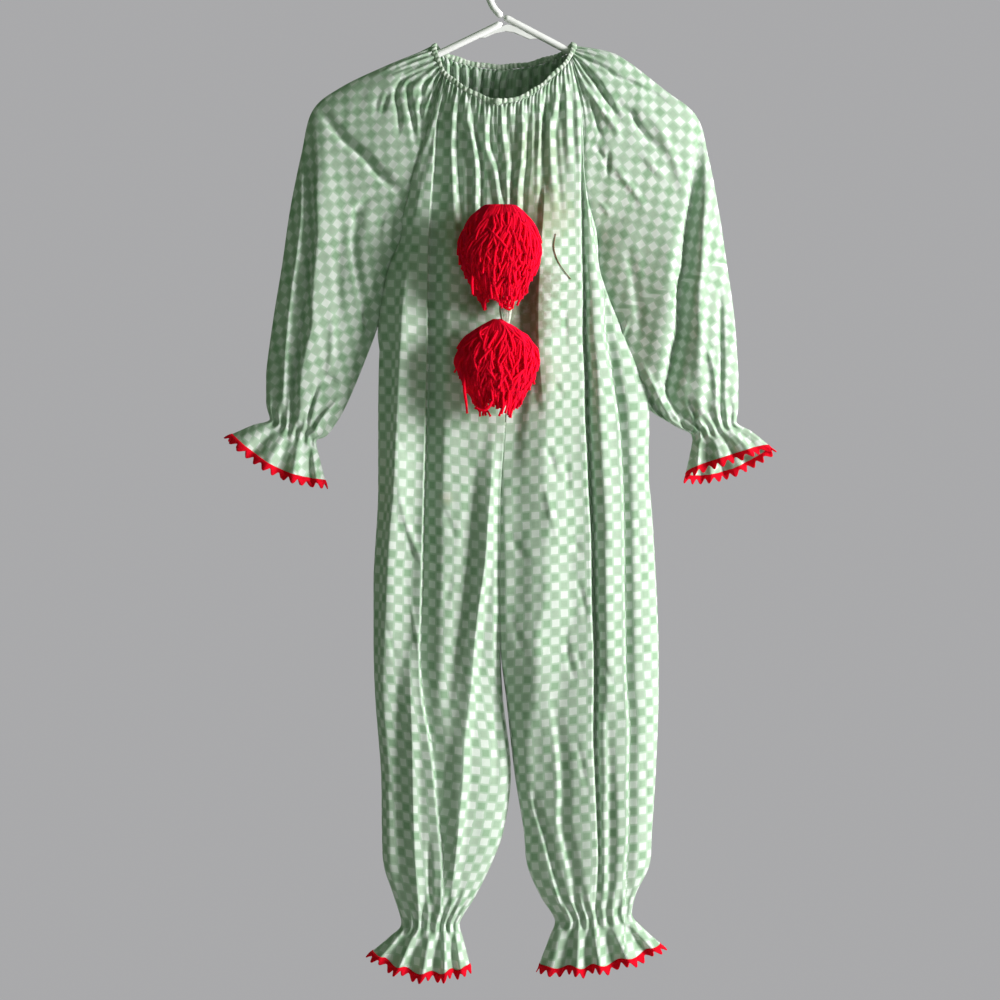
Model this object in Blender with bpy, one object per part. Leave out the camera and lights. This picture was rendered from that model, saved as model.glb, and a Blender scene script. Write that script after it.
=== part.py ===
# Clown jumpsuit on a hanger.
#
# A one-piece gathered costume hangs flat on a tubular plastic hanger.  The
# frame: the origin is the inner top of the hanger's hook, +Z is up, the front
# faces -Y and +X is to the right of somebody who looks at the front.  "Left"
# and "right" in the names are that viewer's.
#
# Every cloth piece is a wall of CLOTH thickness lofted through the rows of
# the cutting tables below (millimetres), with its folds added from the fold
# tables.  Neighbouring pieces are SEAM apart.

import math
from collections import namedtuple

import bmesh
import bpy
from mathutils import Vector

for scene_object in list(bpy.data.objects):
    bpy.data.objects.remove(scene_object, do_unlink=True)

# ---------------------------------------------------------------- dimensions
MM = 0.001
CLOTH = 1.6            # wall of the cotton, with its hems averaged in
SEAM = 0.3             # clearance between sewn pieces
CASING_WIDTH = 6.0     # gathered elastic casing at the neck
CASING_THICK = 3.0
TRIM_REACH = 9.5       # how far the rickrack points hang below a hem
TRIM_THICK = 1.8
TUBE_RADIUS = 3.8      # hanger tube
HOOK_RADIUS = 24.0     # hook, to the tube's axis
WEB_THICK = 3.0
NECK_ROWS = 5          # grid rows from the neck to the underarm
BODY_ROWS = 23         # grid rows from the underarm to the ankle hem
BODY_COLUMNS = 11
SLEEVE_ROWS = 13       # grid rows from the underarm to the wrist hem
SLEEVE_COLUMNS = 18

# ------------------------------------------------------------ cutting tables
# Neck ring, clockwise from the left end, seen from the front: position of the
# casing's middle line, and how steeply the casing faces down (degrees).
Ring = namedtuple("Ring", "place x y z down")
NECK_RING = [
    Ring("left_end", -77.0, 0.0, -112.0, 26),
    Ring("left_front_raglan", -65.0, -19.0, -144.0, 62),
    Ring("left_front", -38.0, -32.0, -166.0, 78),
    Ring("centre_front", -8.0, -37.0, -178.0, 82),
    Ring("right_front", 24.0, -33.0, -170.0, 78),
    Ring("right_mid", 53.0, -22.0, -146.0, 66),
    Ring("right_front_raglan", 69.0, -12.0, -127.0, 50),
    Ring("right_end", 74.0, 0.0, -110.0, 28),
    Ring("right_back_raglan", 66.0, 11.0, -116.0, 50),
    Ring("right_back", 38.0, 20.0, -125.0, 76),
    Ring("centre_back", -2.0, 24.0, -130.0, 80),
    Ring("left_back", -42.0, 19.0, -126.0, 76),
    Ring("left_back_raglan", -69.0, 10.0, -117.0, 50),
]

# Half of the body, neck to ankle: outer line (raglan seam down to the
# underarm, then side seam), inner line (centre seam down to the fork, then
# inseam), depth of front and back, depth at the outer line, how open the
# section is at the inner line, and how far the row bows down at its middle.
Half = namedtuple("Half", "place x_out z_out x_in z_in front back rim open_in bow")
LEFT_HALF = [
    Half("neck", -66.0, -146.5, -8.0, -181.5, 37, 24, 19, 1.0, 0),
    Half("yoke", -80.0, -196.0, -8.0, -216.0, 33, 23, 23, 1.0, 0),
    Half("chest", -98.0, -252.0, -7.0, -260.0, 31, 22, 22, 1.0, 0),
    Half("scye", -107.0, -290.0, -6.0, -292.0, 30, 21, 13, 1.0, 0),
    Half("underarm", -107.5, -320.0, -5.0, -320.0, 30, 21, 0, 1.0, 0),
    Half("rib", -121.0, -357.0, -4.0, -357.0, 30, 21, 0, 1.0, 0),
    Half("high_waist", -134.0, -421.0, -1.0, -421.0, 30, 21, 0, 1.0, 0),
    Half("waist", -137.0, -500.0, 1.0, -500.0, 30, 21, 0, 1.0, 0),
    Half("high_hip", -137.0, -596.0, -5.0, -596.0, 31, 22, 0, 1.0, 0),
    Half("hip", -142.0, -686.0, -5.0, -686.0, 32, 23, 0, 1.0, 0),
    Half("seat", -142.0, -760.0, -5.0, -760.0, 33, 24, 0, 0.7, 0),
    Half("fork", -140.0, -818.0, -2.0, -818.0, 34, 25, 0, 0.0, 0),
    Half("thigh", -134.0, -895.0, 6.5, -895.0, 33, 25, 0, 0.0, 0),
    Half("knee", -133.0, -957.0, -1.0, -957.0, 31, 24, 0, 0.0, 0),
    Half("calf", -131.0, -996.0, -15.0, -996.0, 28, 22, 0, 0.0, 0),
    Half("shin", -120.0, -1030.0, -32.0, -1030.0, 24, 19, 0, 0.0, 0),
    Half("ankle_gather", -112.0, -1059.0, -49.0, -1059.0, 17, 14, 0, 0.0, 0),
    Half("ruffle", -124.0, -1073.0, -45.0, -1076.0, 22, 19, 0, 0.0, -4),
    Half("ankle_hem", -143.0, -1089.0, -38.0, -1103.0, 30, 26, 0, 0.0, -12),
]
RIGHT_HALF = [
    Half("neck", 70.5, -129.5, -8.0, -181.5, 37, 24, 12, 1.0, 0),
    Half("yoke", 82.0, -184.0, -8.0, -216.0, 33, 23, 22, 1.0, 0),
    Half("chest", 85.0, -250.0, -7.0, -260.0, 31, 22, 22, 1.0, 0),
    Half("scye", 91.0, -290.0, -6.0, -292.0, 30, 21, 13, 1.0, 0),
    Half("underarm", 96.0, -320.0, -5.0, -320.0, 30, 21, 0, 1.0, 0),
    Half("rib", 98.0, -357.0, -4.0, -357.0, 30, 21, 0, 1.0, 0),
    Half("high_waist", 119.0, -421.0, -1.0, -421.0, 30, 21, 0, 1.0, 0),
    Half("waist", 144.0, -500.0, 1.0, -500.0, 30, 21, 0, 1.0, 0),
    Half("high_hip", 157.0, -596.0, -5.0, -596.0, 31, 22, 0, 1.0, 0),
    Half("hip", 163.0, -686.0, -5.0, -686.0, 32, 23, 0, 1.0, 0),
    Half("seat", 166.0, -760.0, -5.0, -760.0, 33, 24, 0, 0.7, 0),
    Half("fork", 166.0, -818.0, 1.5, -818.0, 34, 25, 0, 0.0, 0),
    Half("thigh", 163.0, -895.0, 10.0, -895.0, 33, 25, 0, 0.0, 0),
    Half("knee", 159.0, -957.0, 20.0, -957.0, 31, 24, 0, 0.0, 0),
    Half("calf", 156.0, -996.0, 24.0, -996.0, 28, 22, 0, 0.0, 0),
    Half("shin", 142.0, -1026.0, 38.0, -1029.0, 24, 19, 0, 0.0, 0),
    Half("ankle_gather", 137.0, -1049.0, 54.0, -1056.0, 17, 14, 0, 0.0, 0),
    Half("ruffle", 148.0, -1063.0, 48.0, -1074.0, 22, 19, 0, 0.0, -3),
    Half("ankle_hem", 168.0, -1081.0, 37.0, -1103.0, 30, 26, 0, 0.0, -8),
]

# Raglan sleeve, neck to wrist: the line over the shoulder and down the outer
# edge, the line down the raglan seam and then the underarm seam, depth of
# front and back, depth at the raglan seam, and bow of the row.
Sleeve = namedtuple("Sleeve", "place x_top z_top x_in z_in front back rim bow")
LEFT_SLEEVE = [
    Sleeve("neck", -80.0, -113.5, -66.0, -146.5, 18, 10, 19, 0),
    Sleeve("yoke", -128.0, -133.0, -80.0, -196.0, 23, 17, 23, 0),
    Sleeve("shoulder", -178.0, -157.0, -98.0, -252.0, 24, 18, 22, 0),
    Sleeve("point", -208.0, -182.0, -107.0, -290.0, 23, 18, 13, 0),
    Sleeve("underarm", -220.0, -229.0, -110.5, -320.0, 22, 17, 0, 0),
    Sleeve("biceps", -232.0, -288.0, -126.0, -357.0, 21, 17, 0, 0),
    Sleeve("arm", -241.0, -350.0, -134.0, -404.0, 21, 16, 0, 0),
    Sleeve("elbow", -250.0, -405.0, -150.0, -449.0, 20, 16, 0, 0),
    Sleeve("forearm", -258.0, -465.0, -172.0, -501.0, 18, 15, 0, 0),
    Sleeve("low_arm", -258.0, -497.0, -191.0, -531.0, 16, 13, 0, 0),
    Sleeve("wrist_gather", -254.0, -515.0, -204.0, -539.0, 13, 11, 0, 0),
    Sleeve("ruffle", -272.0, -521.0, -200.0, -558.0, 17, 15, 0, -5),
    Sleeve("wrist_hem", -295.0, -531.0, -194.0, -581.0, 24, 21, 0, -12),
]
RIGHT_SLEEVE = [
    Sleeve("neck", 77.0, -112.5, 70.5, -129.5, 11, 10, 12, 0),
    Sleeve("yoke", 120.0, -121.0, 82.0, -184.0, 22, 17, 22, 0),
    Sleeve("shoulder", 172.0, -159.0, 85.0, -250.0, 24, 18, 22, 0),
    Sleeve("point", 207.0, -188.0, 91.0, -290.0, 23, 18, 13, 0),
    Sleeve("underarm", 220.0, -233.0, 99.0, -320.0, 22, 17, 0, 0),
    Sleeve("biceps", 231.0, -290.0, 102.0, -357.0, 21, 17, 0, 0),
    Sleeve("arm", 240.0, -350.0, 119.0, -404.0, 21, 16, 0, 0),
    Sleeve("elbow", 248.0, -408.0, 136.0, -452.0, 20, 16, 0, 0),
    Sleeve("forearm", 252.0, -468.0, 164.0, -500.0, 18, 15, 0, 0),
    Sleeve("low_arm", 252.0, -500.0, 188.0, -522.0, 16, 13, 0, 0),
    Sleeve("wrist_gather", 250.0, -518.0, 203.0, -532.0, 13, 11, 0, 0),
    Sleeve("ruffle", 266.0, -528.0, 200.0, -551.0, 18, 16, 0, -2),
    Sleeve("wrist_hem", 286.0, -545.0, 195.0, -574.0, 25, 23, 0, -6),
]

# Largest folds of the front: a crest that falls off sharply on its right and
# climbs back over `run`.  x is the crest at each of four heights.
Fold = namedtuple("Fold", "place top bottom x1 x2 x3 x4 depth run crown")
FRONT_FOLDS = [
    Fold("left_crest", -190, -1040, -78, -85, -90, -70, 9, 26, 16),
    Fold("left_leg_trough", -600, -1050, -30, -44, -60, -58, 8, 22, 12),
    Fold("right_crest", -150, -1040, 79, 84, 93, 97, 10, 18, 26),
    Fold("right_leg_trough", -760, -1050, 50, 52, 54, 60, 7, 18, 14),
    Fold("left_yoke_pleat", -160, -330, -45, -40, -36, -34, 6, 14, 10),
    Fold("right_yoke_pleat", -150, -330, 36, 37, 38, 40, 6, 14, 12),
]
BACK_FOLDS = [
    Fold("back_left_crest", -150, -1040, -60, -82, -92, -84, 6, 26, 18),
    Fold("back_centre_crest", -150, -760, 16, 22, 26, 24, 5, 24, 16),
    Fold("back_right_crest", -150, -1040, 62, 84, 104, 100, 6, 26, 18),
]

Puff = namedtuple("Puff", "place x y z rx ry rz")
POMPOMS = [
    Puff("pompom_upper", -5.0, -59.0, -334.0, 43.0, 20.0, 51.0),
    Puff("pompom_lower", -9.0, -59.0, -455.0, 43.0, 20.0, 50.0),
]

# Hanger: middle lines of the tubes in the plane Y = 0.
Bend = namedtuple("Bend", "x z")
ARM_LEFT = [Bend(-7.0, -89.0), Bend(-70.0, -119.6), Bend(-130.0, -148.8), Bend(-182.0, -174.0)]
ARM_RIGHT = [Bend(-2.0, -80.0), Bend(70.0, -118.0), Bend(130.0, -149.6), Bend(177.0, -174.5)]
BAR = [Bend(-189.5, -177.8), Bend(-197.0, -182.5), Bend(-198.5, -187.5), Bend(-193.0, -192.0),
       Bend(-184.0, -193.5), Bend(0.0, -194.0), Bend(178.0, -194.0), Bend(187.0, -192.5),
       Bend(192.0, -188.0), Bend(190.5, -182.8), Bend(184.0, -178.4)]
STEM = [Bend(-6.5, -77.0), Bend(-11.5, -71.5), Bend(-15.5, -64.0), Bend(-19.5, -52.0), Bend(-22.5, -38.0)]
WEB = [Bend(-26.0, -104.0), Bend(-6.0, -94.5), Bend(8.0, -92.8), Bend(32.0, -106.0)]

# ----------------------------------------------------------------- materials
def material(name, colour, roughness):
    mat = bpy.data.materials.new(name)
    mat.use_nodes = True
    shader = mat.node_tree.nodes["Principled BSDF"]
    shader.inputs["Base Color"].default_value = (*colour, 1.0)
    shader.inputs["Roughness"].default_value = roughness
    shader.inputs["Metallic"].default_value = 0.0
    mat.diffuse_color = (*colour, 1.0)
    return mat


CHECK_COTTON = ("checked_cotton", (0.42, 0.62, 0.42), 0.85)
CASING_COTTON = ("casing_cotton", (0.66, 0.70, 0.60), 0.85)
RED_YARN = ("red_yarn", (0.75, 0.01, 0.03), 0.95)
RED_TRIM = ("red_rickrack", (0.62, 0.02, 0.04), 0.85)
WHITE_PLASTIC = ("white_plastic", (0.86, 0.86, 0.87), 0.35)

COLLECTION = bpy.data.collections.new("clown_jumpsuit_on_hanger")
bpy.context.scene.collection.children.link(COLLECTION)


def add_object(name, mesh, finish):
    obj = bpy.data.objects.new(name, mesh)
    mesh.materials.append(material(name + "_" + finish[0], finish[1], finish[2]))
    COLLECTION.objects.link(obj)
    return obj


# ----------------------------------------------------------------- functions
def smooth(x):
    x = min(1.0, max(0.0, x))
    return x * x * (3.0 - 2.0 * x)


def curve_value(rows, column, t, closed=False):
    """A column of a table at row number t, on a smooth curve through the rows."""
    n = len(rows)
    i = int(math.floor(t))
    if closed:
        pick = [getattr(rows[(i + k) % n], column) for k in (-1, 0, 1, 2)]
    else:
        i = min(max(i, 0), n - 2)
        pick = [getattr(rows[min(max(i + k, 0), n - 1)], column) for k in (-1, 0, 1, 2)]
    f = t - i
    a, b, c, d = pick
    m1, m2 = 0.5 * (c - a), 0.5 * (d - b)
    if (c - b) * m1 <= 0 and not closed:
        m1 = 0.0
    if (c - b) * m2 <= 0 and not closed:
        m2 = 0.0
    return ((2 * f ** 3 - 3 * f ** 2 + 1) * b + (f ** 3 - 2 * f ** 2 + f) * m1
            + (-2 * f ** 3 + 3 * f ** 2) * c + (f ** 3 - f ** 2) * m2)


def row_number(rows, place):
    return [row.place for row in rows].index(place)


def ring_frame(t):
    """Middle of the neck casing, and the direction its width runs down."""
    x, y, z = (curve_value(NECK_RING, c, t, True) for c in "xyz")
    down = math.radians(curve_value(NECK_RING, "down", t, True))
    out = Vector((x + 2.0, 1.6 * y, 0.0)).normalized()
    return Vector((x, y, z)), out * math.cos(down) + Vector((0, 0, -1)) * math.sin(down)


def ring_edge(t):
    middle, down = ring_frame(t)
    return middle + down * (CASING_WIDTH / 2 + SEAM + CLOTH * 1.4)


def fold_height(folds, x, z):
    """How far the folds push the cloth away from the middle plane."""
    total = 0.0
    for fold in folds:
        if z > fold.top + 30 or z < fold.bottom - 20:
            continue
        f = (fold.top - z) / (fold.top - fold.bottom)
        xs = [fold.x1, fold.x2, fold.x3, fold.x4]
        g = min(max(f, 0.0), 1.0) * 3.0
        i = min(int(g), 2)
        crest = xs[i] + (xs[i + 1] - xs[i]) * smooth(g - i)
        fade = smooth((fold.top + 30 - z) / 60.0) * smooth((z - fold.bottom + 20) / 60.0)
        s = x - crest
        if s < 0:
            total += fade * fold.depth * 0.45 * smooth(1.0 + s / fold.crown)
        else:
            total += fade * fold.depth * (0.45 - 1.0 * smooth(s / 9.0)
                                          + 0.55 * smooth((s - 6.0) / fold.run))
    return total


def section(u, open_in, power=2.3):
    """Depth of a flattened tube from its outer line (0) to its inner line (1)."""
    rise = (1.0 - (1.0 - u) ** power) ** (1.0 / power)
    close = (1.0 - u ** power) ** (1.0 / power) if u < 1.0 else 0.0
    return rise, open_in + (1.0 - open_in) * close


def body_point(rows, side, face, u, t):
    """Middle of the wall of a body panel; side -1 left, +1 right; face -1 front, +1 back."""
    col = lambda name: curve_value(rows, name, t)
    x = col("x_out") + (col("x_in") - col("x_out")) * u
    z = col("z_out") + (col("z_in") - col("z_out")) * u
    z += col("bow") * math.sin(math.pi * u)
    if face > 0:
        z += smooth(1 - t / 3.0) * 44.0 * u + back_lift(side, t) * (1 - u)
    rise, close = section(u, col("open_in"))
    depth = col("front") if face < 0 else col("back")
    rim = col("rim") * (1.0 if face < 0 else 0.62)
    y = rim * (1.0 - rise) + depth * rise * close
    fade = smooth(u / 0.25) * (close if close < 1 else 1.0) * smooth((t - 0.2) / 1.2)
    folds = FRONT_FOLDS if face < 0 else BACK_FOLDS
    y += fade * fold_height(folds, x, z)
    y = max(y, SEAM / 2)
    if t < 1:      # the top row lies along the neck casing
        w = smooth(1 - t) if t > 0 else 1.0
        names = {(-1, -1): ("left_front_raglan", "centre_front"),
                 (1, -1): ("right_front_raglan", "centre_front"),
                 (-1, 1): ("left_back_raglan", "centre_back"),
                 (1, 1): ("right_back_raglan", "centre_back")}[(side, face)]
        a, b = (row_number(NECK_RING, n) for n in names)
        edge = ring_edge(a + (b - a) * u)
        flat = Vector((x, face * y, z))
        return flat.lerp(edge, w)
    return Vector((x, face * y, z))


def sleeve_point(rows, side, q, t):
    """Middle of the wall of a sleeve; q runs -1 front seam, 0 outer line, +1 back seam."""
    col = lambda name: curve_value(rows, name, t)
    face = -1 if q < 0 else 1
    s = 0.5 - 0.5 * math.cos(math.pi * abs(q))
    x = col("x_top") + (col("x_in") - col("x_top")) * s
    z = col("z_top") + (col("z_in") - col("z_top")) * s
    z += col("bow") * math.sin(math.pi * s)
    if face > 0:
        z += back_lift(side, t) * s
    rise, close = section(s, 0.0, 2.1)
    depth = col("front") if face < 0 else col("back")
    rim = col("rim") * (1.0 if face < 0 else 0.62)
    y = rise * (depth * close + rim * (1.0 - close))
    if t < 1:
        w = smooth(1 - t) if t > 0 else 1.0
        end = row_number(NECK_RING, "left_end" if side < 0 else "right_end")
        seam = {(-1, -1): 1, (-1, 1): -1, (1, -1): -1, (1, 1): 1}[(side, face)]
        edge = ring_edge(end + seam * s ** 0.5)
        return Vector((x, face * y, z)).lerp(edge, w)
    return Vector((x, face * y, z))


def wall(name, point, columns, levels, limit, finish, thick=CLOTH):
    """Closed wall through point(a, t), with a in columns and t in levels."""
    bm = bmesh.new()
    outer, inner = [], []
    h = 0.004
    for t in levels:
        row_out, row_in = [], []
        for a in columns:
            a0, a1 = max(a - h, columns[0]), min(a + h, columns[-1])
            t0, t1 = max(t - h, levels[0]), min(t + h, levels[-1])
            p = point(a, t)
            n = (point(a1, t) - point(a0, t)).cross(point(a, t1) - point(a, t0)).normalized()
            if n.dot(Vector((p.x - limit.centre(t), p.y * 6.0, 0.0))) < 0:
                n = -n
            for row, sign in ((row_out, 1), (row_in, -1)):
                row.append(bm.verts.new(limit.clamp(p + n * (sign * thick / 2), a, t) * MM))
        outer.append(row_out)
        inner.append(row_in)
    rows, cols = len(levels), len(columns)
    for j in range(rows - 1):
        for i in range(cols - 1):
            bm.faces.new((outer[j][i], outer[j + 1][i], outer[j + 1][i + 1], outer[j][i + 1]))
            bm.faces.new((inner[j][i], inner[j][i + 1], inner[j + 1][i + 1], inner[j + 1][i]))
    rim = ([(j, 0) for j in range(rows)] + [(rows - 1, i) for i in range(1, cols)]
           + [(j, cols - 1) for j in range(rows - 2, -1, -1)] + [(0, i) for i in range(cols - 2, 0, -1)])
    for (j, i), (m, k) in zip(rim, rim[1:] + rim[:1]):
        bm.faces.new((outer[j][i], inner[j][i], inner[m][k], outer[m][k]))
    return finish_mesh(name, bm, finish)


def finish_mesh(name, bm, finish):
    bmesh.ops.recalc_face_normals(bm, faces=bm.faces)
    bmesh.ops.triangulate(bm, faces=bm.faces)
    mesh = bpy.data.meshes.new(name)
    bm.to_mesh(mesh)
    bm.free()
    mesh.shade_smooth()
    mesh.set_sharp_from_angle(angle=math.radians(50))
    return add_object(name, mesh, finish)


def back_lift(side, t):
    """How much higher the back runs than the front at the raglan seam."""
    return smooth(1 - t / 3.0) * 20.0 * (1 if side < 0 else 0.5)


def raglan_line(rows, side, face, x_name, z_name):
    """Points (z, x) down a raglan seam, from the neck to the underarm."""
    line = []
    for k in range(61):
        t = k / 15.0
        z = curve_value(rows, z_name, t) + (back_lift(side, t) if face > 0 else 0.0)
        line.append((z, curve_value(rows, x_name, t)))
    return line


def x_on_line(line, z):
    for (z0, x0), (z1, x1) in zip(line, line[1:]):
        if z0 >= z >= z1:
            return x0 + (x1 - x0) * (z0 - z) / max(z0 - z1, 1e-6)
    return line[0][1] if z > line[0][0] else line[-1][1]


class BodyLimit:
    """Keeps a body panel on its own side of the centre, side and raglan seams."""

    def __init__(self, rows, side, face):
        self.rows, self.side, self.face = rows, side, face
        self.raglan = raglan_line(rows, side, face, "x_out", "z_out")

    def centre(self, t):
        return 0.5 * (curve_value(self.rows, "x_out", t) + curve_value(self.rows, "x_in", t))

    def clamp(self, p, u, t):
        y = self.face * max(self.face * p.y, SEAM / 2)
        gap = SEAM / 2
        inner = curve_value(self.rows, "x_in", t) + self.side * gap
        outer = curve_value(self.rows, "x_out", t) - self.side * gap
        if t < 4.001:
            outer = x_on_line(self.raglan, p.z) - self.side * gap
        x = min(p.x, inner) if self.side < 0 else max(p.x, inner)
        if t < 4.001:
            x = max(x, outer) if self.side < 0 else min(x, outer)
        return Vector((x, y, p.z))


class SleeveLimit:
    """Keeps a sleeve outside its raglan seams, and its front clear of its back."""

    def __init__(self, rows, side):
        self.rows, self.side = rows, side
        self.raglan = {face: raglan_line(rows, side, face, "x_in", "z_in") for face in (-1, 1)}

    def centre(self, t):
        return 0.5 * (curve_value(self.rows, "x_top", t) + curve_value(self.rows, "x_in", t))

    def clamp(self, p, q, t):
        p = p.copy()
        if abs(q) > 0.6:
            face = -1 if q < 0 else 1
            p.y = face * max(face * p.y, SEAM / 2)
            if t < 4.001:
                edge = x_on_line(self.raglan[face], p.z) + self.side * SEAM / 2
                p.x = min(p.x, edge) if self.side < 0 else max(p.x, edge)
        return p


def levels_between(first, last, count):
    return [first + (last - first) * k / count for k in range(count + 1)]


# --------------------------------------------------------------- body panels
body_levels = levels_between(0.0, 4.0, NECK_ROWS) + levels_between(4.0, 18.0, BODY_ROWS)[1:]
body_columns = [1.0 - math.cos(math.pi / 2 * (k / BODY_COLUMNS)) for k in range(BODY_COLUMNS + 1)]
body_columns = [0.55 * u + 0.45 * k / BODY_COLUMNS for k, u in enumerate(body_columns)]
for half, side, word in ((LEFT_HALF, -1, "left"), (RIGHT_HALF, 1, "right")):
    for face, which in ((-1, "front"), (1, "back")):
        wall(which + "_" + word,
             lambda u, t, half=half, side=side, face=face: body_point(half, side, face, u, t),
             body_columns, body_levels, BodyLimit(half, side, face), CHECK_COTTON)

# ------------------------------------------------------------------- sleeves
sleeve_levels = levels_between(0.0, 4.0, NECK_ROWS) + levels_between(4.0, 12.0, SLEEVE_ROWS)[1:]
sleeve_columns = levels_between(-1.0, 1.0, SLEEVE_COLUMNS)
for rows, side, word in ((LEFT_SLEEVE, -1, "left"), (RIGHT_SLEEVE, 1, "right")):
    wall("sleeve_" + word,
         lambda q, t, rows=rows, side=side: sleeve_point(rows, side, q, t),
         sleeve_columns, sleeve_levels, SleeveLimit(rows, side), CHECK_COTTON)


# --------------------------------------------------- closed bands and pompoms
def band(name, frames, width, thick, finish):
    """Closed ring of rectangular section; frames hold middle, width and thickness directions."""
    bm = bmesh.new()
    loops = []
    for middle, along, across in frames:
        corners = ((-1, -1), (1, -1), (1, 1), (-1, 1))
        loops.append([bm.verts.new((middle + along * (a * width / 2) + across * (b * thick / 2)) * MM)
                      for a, b in corners])
    count = len(loops)
    for j in range(count):
        for i in range(4):
            a, b = loops[j], loops[(j + 1) % count]
            bm.faces.new((a[i], a[(i + 1) % 4], b[(i + 1) % 4], b[i]))
    return finish_mesh(name, bm, finish)


def ring_directions(k, count):
    t = k * len(NECK_RING) / count
    middle, down = ring_frame(t)
    ahead = ring_frame(t + 0.05)[0] - ring_frame(t - 0.05)[0]
    return middle, down, down.cross(ahead).normalized()


band("neck_casing", [ring_directions(k, 39) for k in range(39)], CASING_WIDTH, CASING_THICK, CASING_COTTON)


def hem_frames(point_in_order, drop):
    """Frames for the trim: it carries on from a hem, along the cloth."""
    frames = []
    count = len(point_in_order)
    for k in range(count):
        hem, above = point_in_order[k]
        fall = (hem - above).normalized()
        ahead = (point_in_order[(k + 1) % count][0] - point_in_order[k - 1][0])
        frames.append((hem + fall * drop, fall, fall.cross(ahead).normalized()))
    return frames


trim_drop = SEAM + 0.5 + TRIM_REACH / 2
for half, side, word in ((LEFT_HALF, -1, "left"), (RIGHT_HALF, 1, "right")):
    loop = []
    for k in range(24):
        a = k / 12.0
        face, u = (-1, a) if a < 1 else (1, 2 - a)
        u = 0.5 - 0.5 * math.cos(math.pi * u)
        loop.append((body_point(half, side, face, u, 18.0), body_point(half, side, face, u, 17.6)))
    band("trim_ankle_" + word, hem_frames(loop, trim_drop), TRIM_REACH, TRIM_THICK, RED_TRIM)
for rows, side, word in ((LEFT_SLEEVE, -1, "left"), (RIGHT_SLEEVE, 1, "right")):
    loop = []
    for k in range(22):
        q = -1.0 + k / 11.0
        loop.append((sleeve_point(rows, side, q, 12.0), sleeve_point(rows, side, q, 11.6)))
    band("trim_wrist_" + word, hem_frames(loop, trim_drop), TRIM_REACH, TRIM_THICK, RED_TRIM)

for puff in POMPOMS:
    bm = bmesh.new()
    bmesh.ops.create_uvsphere(bm, u_segments=18, v_segments=11, radius=1.0)
    for v in bm.verts:
        v.co = Vector((puff.x + puff.rx * v.co.x, puff.y + puff.ry * v.co.y, puff.z + puff.rz * v.co.z)) * MM
    finish_mesh(puff.place, bm, RED_YARN)

# Small covered button at the centre of the neck casing.
bm = bmesh.new()
bmesh.ops.create_cone(bm, cap_ends=True, segments=16, radius1=4.2, radius2=3.4, depth=3.0)
centre = ring_frame(3.0)[0]
for v in bm.verts:
    v.co = Vector((centre.x + v.co.x, centre.y - CASING_THICK / 2 - SEAM - 1.5 - 0.6 - v.co.z, centre.z - 1.0 + v.co.y)) * MM
finish_mesh("neck_button", bm, CASING_COTTON)


# --------------------------------------------------------------- the hanger
def tube(name, path):
    curve = bpy.data.curves.new(name, "CURVE")
    curve.dimensions = "3D"
    curve.bevel_depth = TUBE_RADIUS * MM
    curve.bevel_resolution = 2
    curve.use_fill_caps = True
    spline = curve.splines.new("POLY")
    spline.points.add(len(path) - 1)
    for point, (x, z) in zip(spline.points, path):
        point.co = (x * MM, 0.0, z * MM, 1.0)
    obj = bpy.data.objects.new(name, curve)
    curve.materials.append(material(name + "_" + WHITE_PLASTIC[0], WHITE_PLASTIC[1], WHITE_PLASTIC[2]))
    COLLECTION.objects.link(obj)
    return obj


tube("hanger_arm_left", [(b.x, b.z) for b in ARM_LEFT])
tube("hanger_arm_right", [(b.x, b.z) for b in ARM_RIGHT])
tube("hanger_bar", [(b.x, b.z) for b in BAR])
hook_middle = -(HOOK_RADIUS - TUBE_RADIUS)
arc = [math.radians(a) for a in range(202, -36, -14)]
hook_path = [(b.x, b.z) for b in STEM] + [(HOOK_RADIUS * math.cos(a), hook_middle + HOOK_RADIUS * math.sin(a)) for a in arc]
tube("hanger_hook", hook_path)

web = bpy.data.curves.new("hanger_web", "CURVE")
web.dimensions = "2D"
web.fill_mode = "BOTH"
web.extrude = WEB_THICK / 2 * MM
outline = web.splines.new("POLY")
outline.points.add(len(WEB) - 1)
for point, bend in zip(outline.points, WEB):
    point.co = (bend.x * MM, bend.z * MM, 0.0, 1.0)
outline.use_cyclic_u = True
web_object = bpy.data.objects.new("hanger_web", web)
web_object.rotation_euler = (math.pi / 2, 0.0, 0.0)
web.materials.append(material("hanger_web_" + WHITE_PLASTIC[0], WHITE_PLASTIC[1], WHITE_PLASTIC[2]))
COLLECTION.objects.link(web_object)
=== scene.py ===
# Clown jumpsuit on a hanger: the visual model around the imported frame.
# Lengths in this file are millimetres until a mesh is made.
import bpy
import math
from collections import namedtuple

import numpy as np
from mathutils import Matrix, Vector


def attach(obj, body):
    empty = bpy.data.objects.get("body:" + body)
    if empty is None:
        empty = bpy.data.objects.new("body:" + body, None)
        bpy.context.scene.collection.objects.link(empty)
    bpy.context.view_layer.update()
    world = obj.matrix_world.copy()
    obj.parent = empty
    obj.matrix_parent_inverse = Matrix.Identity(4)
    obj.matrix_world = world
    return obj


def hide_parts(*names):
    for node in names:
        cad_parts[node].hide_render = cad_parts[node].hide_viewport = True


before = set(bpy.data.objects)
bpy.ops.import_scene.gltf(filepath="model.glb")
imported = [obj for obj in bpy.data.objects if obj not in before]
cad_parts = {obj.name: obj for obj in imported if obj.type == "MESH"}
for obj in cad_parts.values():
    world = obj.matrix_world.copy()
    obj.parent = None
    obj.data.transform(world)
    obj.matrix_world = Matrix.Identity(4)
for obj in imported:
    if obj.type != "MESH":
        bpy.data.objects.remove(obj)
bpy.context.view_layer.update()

MM = 0.001
CLOTH, SEAM = 1.6, 0.3
CASING_WIDTH, CASING_THICK = 6.0, 3.0
TRIM_REACH, TRIM_THICK = 9.5, 1.8
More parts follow.
